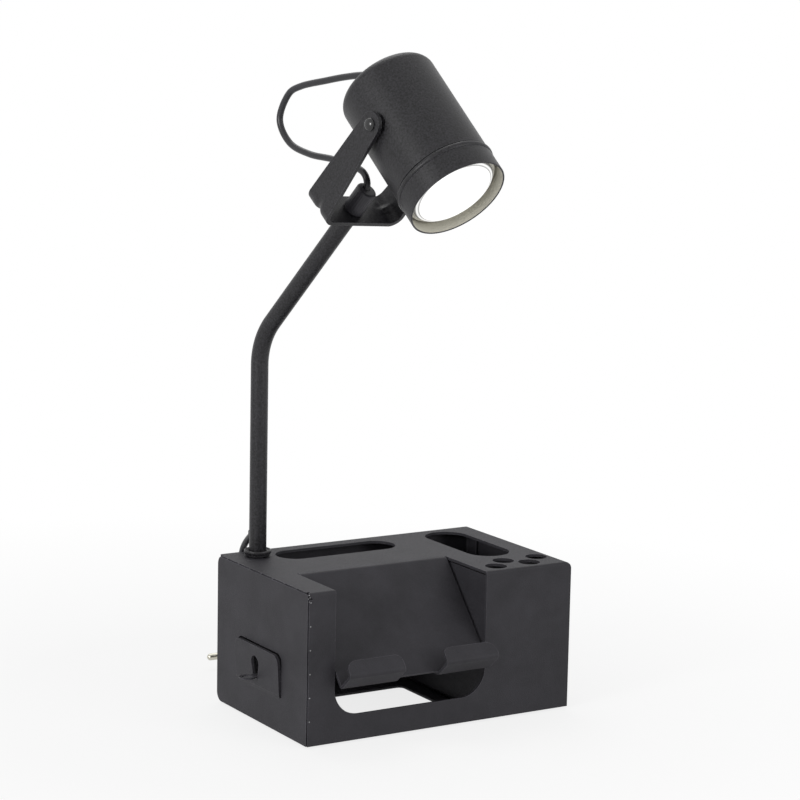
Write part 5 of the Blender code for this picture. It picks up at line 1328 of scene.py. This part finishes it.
class OBJECT_OT_desk_lamp_stem(bpy.types.Operator):
    """Makes the bent stem with its bore and slot, the round nut at its foot, and its fastenings."""

    bl_idname = "object.desk_lamp_stem"
    bl_label = "Stem"

    def execute(self, context):
        look = looks(context)
        low = TOP - SHEET - STEM_BELOW_TOP
        step = STEM_RADIUS - STEM_THREAD_RADIUS
        edge, sides = 0.3 * MM, 64
        line = stem_line(low, [30 * MM, 60 * MM, STEM_SHOULDER - step, STEM_SHOULDER, STEM_TIP])
        line = np.vstack([line[:1], line[:1] + (0, 0, edge), line[1:]])
        radius = np.full(len(line), STEM_RADIUS)
        radius[0] -= edge
        radius[-2:] = STEM_THREAD_RADIUS
        outer = swept(line, radius, sides)[0]
        inner = swept(line, STEM_BORE_RADIUS, sides)[0].reshape(len(line), sides, 3)[::-1].reshape(-1, 3)
        faces = grid_faces(2 * len(line), sides, wrap_rows=True, wrap_columns=True)
        stem = body("stem", (np.vstack([outer, inner]), faces), look["coarse"])
        slot = exit_line(EXIT_SLOT_FROM, EXIT_SLOT_TO, 24)
        cut(stem, swept(slot, CORD_RADIUS + EXIT_SLOT_CLEARANCE, 32))
        fitted(shaded(broken_edges(stem, 0.15 * MM)), "organizer", "stem_tube", slot="powder_coated_steel")

        foot = TOP + GAP
        top = foot + COLLAR_HEIGHT
        bore = STEM_RADIUS + GAP
        waist = np.linspace(0, math.pi / 2, 8)
        dish, chamfer, bevel, recess = 0.9 * MM, 0.25 * MM, 0.2 * MM, 0.7 * MM
        waist_height, waist_share = COLLAR_HEIGHT - 1.4 * MM, 0.75
        flank_radius = COLLAR_RADIUS - dish * (1 - np.cos(waist))
        flank_height = top - dish - waist_height * np.sin(waist) * waist_share
        profile = np.vstack(
            [
                [(COLLAR_RADIUS - chamfer, top), (COLLAR_RADIUS, top - chamfer)],
                np.column_stack([flank_radius, flank_height]),
                [
                    (COLLAR_RADIUS - dish, foot + bevel),
                    (COLLAR_RADIUS - dish - bevel, foot),
                    (bore, foot),
                    (bore, top - dish),
                    (bore + 0.3 * MM, top - dish),
                    (COLLAR_RADIUS - 1.2 * MM, top - recess),
                    (COLLAR_RADIUS - recess, top),
                ],
            ]
        )
        collar = shaded(body("stem_foot_nut", turned(profile, 96), look["coarse"]), 50.0)
        fitted(collar, "organizer", "stem_collar", slot="powder_coated_steel")
        bush = sheet_copy("stem_grommet", "stem_cord_bush", look["rubber"], 0.15 * MM)
        fitted(bush, "organizer", "stem_grommet", slot="rubber")
        for cad_node in ("stem_washer", "stem_nut"):
            plated = sheet_copy(cad_node, cad_node + "_plated", look["zinc"], 0.2 * MM)
            fitted(plated, "organizer", cad_node, slot="zinc_plated_steel")
        return {"FINISHED"}


def strap_line(run):
    """The yoke's middle line: places (x, z) and inward normals along it, and where its parts end.

    It goes down one arm, which leans in a little, round the bend, across, round again and up the other arm.
    """
    tip, bend, lean = YOKE_TIP_WIDTH / 2, YOKE_BEND_RADIUS, YOKE_SPLAY
    reach = YOKE_ARM - BASE_RISE
    arm = (reach - bend * (1 - math.sin(lean))) / math.cos(lean) + tip
    side = YOKE_OFFSET + tip * math.sin(lean)
    base = 2 * (side - arm * math.sin(lean) - bend * math.cos(lean))
    turn = math.pi / 2 - lean
    stations = np.cumsum([arm, turn * bend, base, turn * bend, arm])
    fine = np.linspace(0.0, stations[-1], 20001)
    angle = np.interp(fine, stations[:4], [-turn, 0.0, 0.0, turn])
    middle = (angle[1:] + angle[:-1]) / 2
    x = -side + np.concatenate([[0.0], np.cumsum(np.cos(middle)) * fine[1]])
    z = YOKE_ARM + tip * math.cos(lean) + np.concatenate([[0.0], np.cumsum(np.sin(middle)) * fine[1]])
    heading = np.interp(run, fine, angle)
    place = np.column_stack([np.interp(run, fine, x), np.interp(run, fine, z)])
    return place, np.column_stack([-np.sin(heading), np.cos(heading)]), stations


def yoke_strap():
    """The strap as a grid: along its bent middle line, and across it by half its width.

    The arms widen evenly from the round tips to the bends. In each bend a narrow rib is pressed inwards: its
    depth falls off as a bell across the strap and a cosine along it. Half the thickness lies on each side.
    """
    tip, wide = YOKE_TIP_WIDTH / 2, YOKE_WIDTH / 2
    turns = strap_line(np.zeros(1))[2]
    end = turns[-1]
    near = tip * (1 - np.cos(np.linspace(0.0, math.pi / 2, 14)))
    past_bend = 9 * MM
    before, after = turns[0] - past_bend, turns[1] + past_bend
    stretches = [(tip, before, 12), (before, after, 46), (after, end / 2, 8)]
    middle = np.concatenate([np.linspace(*stretch) for stretch in stretches])
    run = np.unique(np.round(np.concatenate([near, middle, end - near, end - middle]), 9))
    place, inward, turns = strap_line(run)
    from_end = np.minimum(run, end - run)
    width = np.interp(from_end, [tip, turns[0]], [tip, wide])
    width = np.where(from_end < tip, np.sqrt(np.clip(tip**2 - (tip - from_end) ** 2, 0.0, None)), width)
    across = width[:, None] * np.linspace(-1.0, 1.0, 41)
    depth = np.zeros_like(across)
    for start in (turns[0], turns[2]):
        half_turn = (turns[1] - turns[0]) / 2
        off = (run - start - half_turn) / (GUSSET_REACH + half_turn)
        ridge = np.where(np.abs(off) < 1, 0.5 + 0.5 * np.cos(math.pi * off), 0.0)
        depth += GUSSET_DEPTH * ridge[:, None] * np.exp(-((across / GUSSET_WIDTH) ** 2))
    sides = []
    for offset in (YOKE_THICKNESS / 2, -YOKE_THICKNESS / 2):
        x, z = (place[:, k, None] + inward[:, k, None] * (depth + offset) for k in (0, 1))
        sides.append(np.stack([x, across, z], -1))
    around = np.concatenate([sides[0], sides[1][:, ::-1]], axis=1)
    columns = around.shape[1]
    last = (len(run) - 1) * columns
    faces = grid_faces(len(run), columns, wrap_columns=True)
    return around.reshape(-1, 3), [*faces, list(range(columns)), list(range(last, last + columns))]


class OBJECT_OT_desk_lamp_yoke(bpy.types.Operator):
    """Makes the yoke with a pressed gusset in each bend, the ribbed cord grip and the thin nut below."""

    bl_idname = "object.desk_lamp_yoke"
    bl_label = "Yoke and cord grip"

    def execute(self, context):
        look = looks(context)
        sizes = context.scene.desk_lamp_sizes
        strap = body("yoke_strap", yoke_strap(), look["coarse"])
        margin = 4 * MM
        reach = YOKE_OFFSET + margin
        thread = STEM_THREAD_RADIUS + GAP
        pivot = circle(0.0, YOKE_ARM, PIVOT_HOLE_RADIUS, 32)
        cut(
            strap,
            drawn(pivot, "X", -reach, -reach + 2 * margin),
            drawn(pivot, "X", reach - 2 * margin, reach),
            drawn(circle(0.0, 0.0, thread, 48), "Z", BASE_RISE - margin, BASE_RISE + margin),
        )
        broken_edges(strap, sizes.edge_break * 1.3)
        shaded(strap, weighted=True)
        place_mesh(strap, YOKE_PLACE)
        fitted(strap, "yoke", "yoke", slot="powder_coated_steel")

        low, high = BASE_RISE + YOKE_THICKNESS / 2 + GAP, GRIP_TOP
        rib_low, rib_high = low + 0.4 * MM, high - 1.5 * MM
        profile = rounded(
            [
                (0.0, high, 0),
                (GRIP_RADIUS, high, 1.3 * MM),
                (GRIP_RADIUS, low, 0.2 * MM),
                (thread, low, 0),
                (thread, THREAD_TOP, 0),
                (0.0, THREAD_TOP, 0),
            ],
            6,
        )
        foot = int(np.argmax((profile[:, 0] > GRIP_RADIUS - WELD) & (profile[:, 1] < rib_high)))
        along = np.linspace(rib_low, rib_high, 14)[::-1]
        flank = np.column_stack([np.full_like(along, GRIP_RADIUS), along])
        profile = np.vstack([profile[:foot], flank, profile[foot:]])
        points, faces = turned(profile, 8 * sizes.rib_count or 96)
        radius = np.hypot(points[:, 0], points[:, 1])
        angle = np.arctan2(points[:, 1], points[:, 0])
        ribbed = (radius > GRIP_RADIUS - WELD) & (points[:, 2] < rib_high + WELD)
        wave = sizes.rib_depth * (0.5 - 0.5 * np.cos(sizes.rib_count * angle)) * ribbed
        points[:, :2] *= (1 - wave / np.maximum(radius, WELD))[:, None]
        grip = body("cord_clamp", (moved(points, YOKE_PLACE), faces), look["plastic"])
        cut(grip, swept(head_route(LOOP_SPACING)[:LOOP_POINTS_IN_GRIP], CORD_RADIUS + GAP, 32))
        fitted(shaded(grip, 45.0), "yoke", "cord_grip", slot="black_plastic")
        thin = sheet_copy("stem_swivel_nut", "swivel_nut_thin", look["coarse"], 0.25 * MM)
        place_mesh(thin, shift(*(YOKE_PLACE[:3, 2] * BASE_RISE)))
        fitted(thin, "organizer", "stem_swivel_nut", slot="powder_coated_steel")
        return {"FINISHED"}


class OBJECT_OT_desk_lamp_head(bpy.types.Operator):
    """Makes the head's shell, its front ring with a rolled bead, the rear bush and the pivots."""

    bl_idname = "object.desk_lamp_head"
    bl_label = "Head"

    def execute(self, context):
        look = looks(context)
        front = HEAD_RIM - RING_LENGTH - GAP
        inner_rear = HEAD_WALL - REAR_WALL
        inner = HEAD_RADIUS - HEAD_WALL
        profile = rounded(
            [
                (HEAD_RADIUS, front, 0.3 * MM),
                (HEAD_RADIUS, -REAR_WALL, REAR_WALL_RADIUS),
                (BUSH_HOLE_RADIUS, -REAR_WALL, 0.3 * MM),
                (BUSH_HOLE_RADIUS, inner_rear, 0),
                (inner, inner_rear, REAR_WALL_RADIUS - HEAD_WALL),
                (inner, front, 0.2 * MM),
            ],
            14,
        )
        shell = body("lamp_head", turned(profile, 144), look["coarse"])
        pivot = circle(0.0, 0.0, PIVOT_HOLE_RADIUS, 32)
        cut(shell, drawn(pivot, "X", -HEAD_REAR - OVERRUN, HEAD_REAR + OVERRUN))
        shaded(shell, weighted=True)
        place_mesh(shell, HEAD_PLACE)
        fitted(shell, "head", "head_shell", slot="powder_coated_steel")

        rear = HEAD_RIM - RING_LENGTH
        outer = HEAD_RADIUS + 0.2 * MM
        bead = HEAD_RADIUS + 0.8 * MM
        wall = 0.9 * MM
        sleeve, sleeve_wall, sleeve_end = inner - GAP, 0.8 * MM, rear - 6 * MM
        bead_depth, bead_middle, bead_half, bead_end = 0.9 * MM, 1.6 * MM, 1.5 * MM, 3.2 * MM
        roll = np.linspace(0.0, math.pi, 19)
        swell = [bead - bead_depth * (1 - np.sin(roll)), rear + bead_middle + bead_half * np.cos(roll)]
        rim = [(outer, HEAD_RIM, 0.35 * MM), (outer, rear + bead_end, 0), (outer - wall, HEAD_RIM, 0)]
        profile = np.vstack(
            [
                rounded(rim, 6)[:8],
                np.column_stack(swell),
                [
                    (bead - bead_depth, rear),
                    (sleeve, rear),
                    (sleeve, sleeve_end),
                    (sleeve - sleeve_wall, sleeve_end),
                    (sleeve - sleeve_wall, rear + 0.8 * MM),
                    (outer - wall, rear + bead_middle),
                    (outer - wall, HEAD_RIM - 0.3 * MM),
                ],
            ]
        )
        ring = body("head_front_ring", turned(profile, 144), look["coarse"])
        ring.data.materials.append(look["lining"])
        centres = np.empty(3 * len(ring.data.polygons))
        ring.data.polygons.foreach_get("center", centres)
        centres = centres.reshape(-1, 3)
        lined = (np.hypot(centres[:, 0], centres[:, 1]) < outer - 0.95 * wall) & (centres[:, 2] > rear + wall)
        ring.data.polygons.foreach_set("material_index", lined.astype(np.int32))
        shaded(ring, weighted=True)
        place_mesh(ring, HEAD_PLACE)
        fitted(ring, "head", "front_ring", slot="powder_coated_steel")

        bore = CORD_RADIUS + 2 * GAP
        low = -REAR_WALL - GAP
        back = low - 1.8 * MM
        waist, flange, end = 4.2 * MM, 5.8 * MM, 4.0 * MM
        profile = rounded(
            [
                (waist, inner_rear, 0),
                (waist, low, 0),
                (flange, low, 0.3 * MM),
                (end, back, 0.6 * MM),
                (bore, back, 0.3 * MM),
                (bore, inner_rear, 0),
            ],
            5,
        )
        grommet = shaded(body("head_cord_bush", seated(turned(profile, 64), HEAD_PLACE), look["rubber"]))
        fitted(grommet, "head", "head_grommet", slot="rubber")

        under = YOKE_OFFSET + YOKE_THICKNESS / 2 + GAP
        arc = np.linspace(math.pi / 2, 0.25, 12)
        dome = np.column_stack([SCREW_HEAD_RADIUS * np.cos(arc), under + SCREW_HEAD_HEIGHT * np.sin(arc)])
        shank = [
            (SCREW_HEAD_RADIUS, under + 0.3 * MM),
            (SCREW_HEAD_FOOT_RADIUS, under),
            (SCREW_RADIUS, under),
            (SCREW_RADIUS, SCREW_END),
            (0.0, SCREW_END),
        ]
        screw_shape = turned(np.vstack([[(0.0, under + SCREW_HEAD_HEIGHT)], dome[1:], shank]), 48)
        low, edge = HEAD_RADIUS + GAP, 0.2 * MM
        high = low + WASHER_THICKNESS
        profile = rounded(
            [
                (WASHER_RADIUS, high, edge),
                (WASHER_RADIUS, low, edge),
                (PIVOT_HOLE_RADIUS, low, 0),
                (PIVOT_HOLE_RADIUS, high, 0),
            ],
            4,
        )
        washer_shape = turned(profile, 48)
        for side, word in ((-1, "near"), (1, "far")):
            seat = HEAD_PLACE @ turn_about("Y", side * math.pi / 2)
            screw = shaded(body(f"pivot_screw_{word}", seated(screw_shape, seat), look["screw"]))
            fitted(screw, "head", f"tilt_screw_{word}", slot="zinc_plated_steel")
            washer = shaded(body(f"pivot_washer_{word}", seated(washer_shape, seat), look["plastic"]))
            fitted(washer, "head", f"tilt_washer_{word}", slot="black_plastic")
            hexagon = sheet_copy(f"tilt_nut_{word}", f"pivot_nut_{word}", look["zinc"], 0.2 * MM)
            fitted(hexagon, "head", f"tilt_nut_{word}", slot="zinc_plated_steel")
        return {"FINISHED"}


class OBJECT_OT_desk_lamp_lamp(bpy.types.Operator):
    """Makes the reflector lamp with its stepped rim and lens, its pins and its holder."""

    bl_idname = "object.desk_lamp_lamp"
    bl_label = "Lamp and holder"

    def execute(self, context):
        look = looks(context)
        seat, rim = LAMP_FACE - 0.4 * MM, LAMP_FACE - 3.0 * MM
        profile = rounded(
            [
                (0.0, seat, 0),
                (LENS_SEAT_RADIUS, seat, 0),
                (LENS_SEAT_RADIUS, LAMP_FACE, 0.15 * MM),
                (LAMP_RIM_RADIUS, LAMP_FACE, 0.5 * MM),
                (LAMP_RIM_RADIUS, rim, 0.4 * MM),
                (20.5 * MM, 27 * MM, 8 * MM),
                (13.5 * MM, 9 * MM, 4 * MM),
                (LAMP_NECK_RADIUS, 5 * MM, 1 * MM),
                (LAMP_NECK_RADIUS, LAMP_NECK_END, 0.5 * MM),
                (0.0, LAMP_NECK_END, 0),
            ],
            8,
        )
        lamp = body("reflector_lamp", seated(turned(profile, 128), HEAD_PLACE), look["lamp"])
        fitted(shaded(lamp, weighted=True), "head", "lamp_body", slot="white_lamp_body")

        low = LAMP_FACE + GAP
        edge, crown, roundness = 0.8 * MM, 4.2 * MM, 2.2
        share = np.linspace(0.0, 1.0, 40)
        step = np.where((share > 0.9) & (share < 0.93), -0.12 * MM, 0.0)
        arch = np.sqrt(np.clip(1 - share**roundness, 0.0, 1.0))
        dome = np.column_stack([LENS_RADIUS * share, low + edge + crown * arch + step])
        shape = turned(np.vstack([dome, [(LENS_RADIUS, low), (0.0, low)]]), 128)
        lens = shaded(body("lamp_front_lens", seated(shape, HEAD_PLACE), look["lens"]), 50.0)
        own = moved(places(lens), np.linalg.inv(HEAD_PLACE))
        out = lens.data.attributes.new("from_axis", "FLOAT", "POINT")
        out.data.foreach_set("value", np.hypot(own[:, 0], own[:, 1]) / LENS_RADIUS)
        fitted(lens, "head", "lamp_lens", slot="lens")
        for name, key, slot in (
            ("lampholder", "ceramic", "lampholder_white"),
            ("lamp_pin_1", "nickel", "nickel_plated_brass"),
            ("lamp_pin_2", "nickel", "nickel_plated_brass"),
        ):
            piece = sheet_copy(name, name + "_finished", look[key], 0.15 * MM)
            fitted(piece, "head", name, slot=slot)
        return {"FINISHED"}


class OBJECT_OT_desk_lamp_stage(bpy.types.Operator):
    """Makes the pale floor and the soft studio light."""

    bl_idname = "object.desk_lamp_stage"
    bl_label = "Floor and light"

    def execute(self, context):
        studio = context.scene.desk_lamp_studio
        scene = context.scene
        scene.view_settings.view_transform = "Standard"
        world = bpy.data.worlds.new("studio")
        scene.world = world
        world.use_nodes = True
        tree = world.node_tree
        tree.nodes.clear()
        seen = seen_directly(tree)
        sky = node(tree, "ShaderNodeBackground", {"Color": (1.0, 1.0, 1.0, 1.0), "Strength": studio.sky})
        white = node(tree, "ShaderNodeBackground", {"Color": (1.0, 1.0, 1.0, 1.0), "Strength": 1.0})
        mixed = {0: seen, 1: sky.outputs[0], 2: white.outputs[0]}
        surface = node(tree, "ShaderNodeMixShader", None, mixed).outputs[0]
        node(tree, "ShaderNodeOutputWorld", None, {"Surface": surface})

        material = bpy.data.materials.new("matt_white_floor")
        material.use_nodes = True
        tree = material.node_tree
        tree.nodes.clear()
        where = node(tree, "ShaderNodeTexCoord").outputs["Object"]
        length = node(tree, "ShaderNodeVectorMath", {"operation": "LENGTH"}, {0: where})
        settings = {"From Min": 0.15, "From Max": 0.5, "To Min": 0.8, "To Max": 1.0}
        fade = node(tree, "ShaderNodeMapRange", settings, {"Value": length.outputs["Value"]})
        both = {0: fade.outputs["Result"], 1: seen_directly(tree)}
        share = node(tree, "ShaderNodeMath", {"operation": "MULTIPLY"}, both)
        paint = node(tree, "ShaderNodeBsdfDiffuse", {"Color": (0.86, 0.86, 0.86, 1.0)})
        glow = node(tree, "ShaderNodeEmission", {"Color": (1.0, 1.0, 1.0, 1.0), "Strength": 1.0})
        mixed = {0: share.outputs[0], 1: paint.outputs[0], 2: glow.outputs[0]}
        surface = node(tree, "ShaderNodeMixShader", None, mixed).outputs[0]
        node(tree, "ShaderNodeOutputMaterial", None, {"Surface": surface})
        reach = 4.0
        corners = [(-reach, -reach, 0.0), (reach, -reach, 0.0), (reach, reach, 0.0), (-reach, reach, 0.0)]
        mesh = bpy.data.meshes.new("floor")
        mesh.from_pydata(corners, [], [(0, 1, 2, 3)])
        mesh.materials.append(material)
        floor = bpy.data.objects.new("floor", mesh)
        scene.collection.objects.link(floor)

        middle = np.array([0.05, -0.04, 0.15])
        lights = {
            "key_light": (np.array([-2.1, -0.6, 0.8]), 0.7, studio.key),
            "fill_light": (np.array([0.9, -1.9, 0.7]), 1.2, studio.fill),
            "top_light": (np.array([0.3, 0.9, 1.7]), 1.4, studio.top),
        }
        for name, (place, size, power) in lights.items():
            data = bpy.data.lights.new(name, "AREA")
            data.shape = "DISK"
            data.size = size
            data.energy = power
            light = bpy.data.objects.new(name, data)
            back = (place - middle) / np.linalg.norm(place - middle)
            side = np.cross([0.0, 0.0, 1.0], back)
            side /= np.linalg.norm(side)
            matrix = np.eye(4)
            matrix[:3, 0], matrix[:3, 1], matrix[:3, 2] = side, np.cross(back, side), back
            matrix[:3, 3] = place
            scene.collection.objects.link(light)
            light.matrix_world = matrix.T.tolist()
        return {"FINISHED"}


def seen_directly(tree):
    """1 for a ray from the camera, or one that a mirror or glass has sent on."""
    rays = node(tree, "ShaderNodeLightPath").outputs
    seen = rays["Is Camera Ray"]
    for kind in ("Is Glossy Ray", "Is Transmission Ray"):
        both = {0: seen, 1: rays[kind]}
        seen = node(tree, "ShaderNodeMath", {"operation": "MAXIMUM"}, both).outputs[0]
    return seen


STEPS = [
    OBJECT_OT_desk_lamp_camera,
    OBJECT_OT_desk_lamp_cords,
    OBJECT_OT_desk_lamp_shell,
    OBJECT_OT_desk_lamp_plates,
    OBJECT_OT_desk_lamp_stem,
    OBJECT_OT_desk_lamp_yoke,
    OBJECT_OT_desk_lamp_head,
    OBJECT_OT_desk_lamp_lamp,
    OBJECT_OT_desk_lamp_stage,
]
SETTINGS = {
    "desk_lamp_finishes": DeskLampFinishes,
    "desk_lamp_sizes": DeskLampSizes,
    "desk_lamp_studio": DeskLampStudio,
}


class VIEW3D_PT_desk_lamp(bpy.types.Panel):
    """Lists the steps that build the desk lamp, and its settings."""

    bl_label = "Desk lamp with organizer"
    bl_space_type = "VIEW_3D"
    bl_region_type = "UI"
    bl_category = "Desk lamp"

    def draw(self, context):
        for step in STEPS:
            self.layout.operator(step.bl_idname)
        for name, group in SETTINGS.items():
            box = self.layout.box()
            for setting in group.__annotations__:
                box.prop(getattr(context.scene, name), setting)


def register():
    """Registers the settings, the steps and the panel."""
    for group in SETTINGS.values():
        bpy.utils.register_class(group)
    for name, group in SETTINGS.items():
        setattr(bpy.types.Scene, name, bpy.props.PointerProperty(type=group))
    for step in [*STEPS, VIEW3D_PT_desk_lamp]:
        bpy.utils.register_class(step)


def unregister():
    """Takes away the panel and the steps, and then the settings."""
    for step in reversed([*STEPS, VIEW3D_PT_desk_lamp]):
        bpy.utils.unregister_class(step)
    for name, group in SETTINGS.items():
        delattr(bpy.types.Scene, name)
        bpy.utils.unregister_class(group)


def main():
    """Runs every step in order."""
    register()
    for step in STEPS:
        space, name = step.bl_idname.split(".")
        getattr(getattr(bpy.ops, space), name)()


if __name__ == "__main__":
    main()
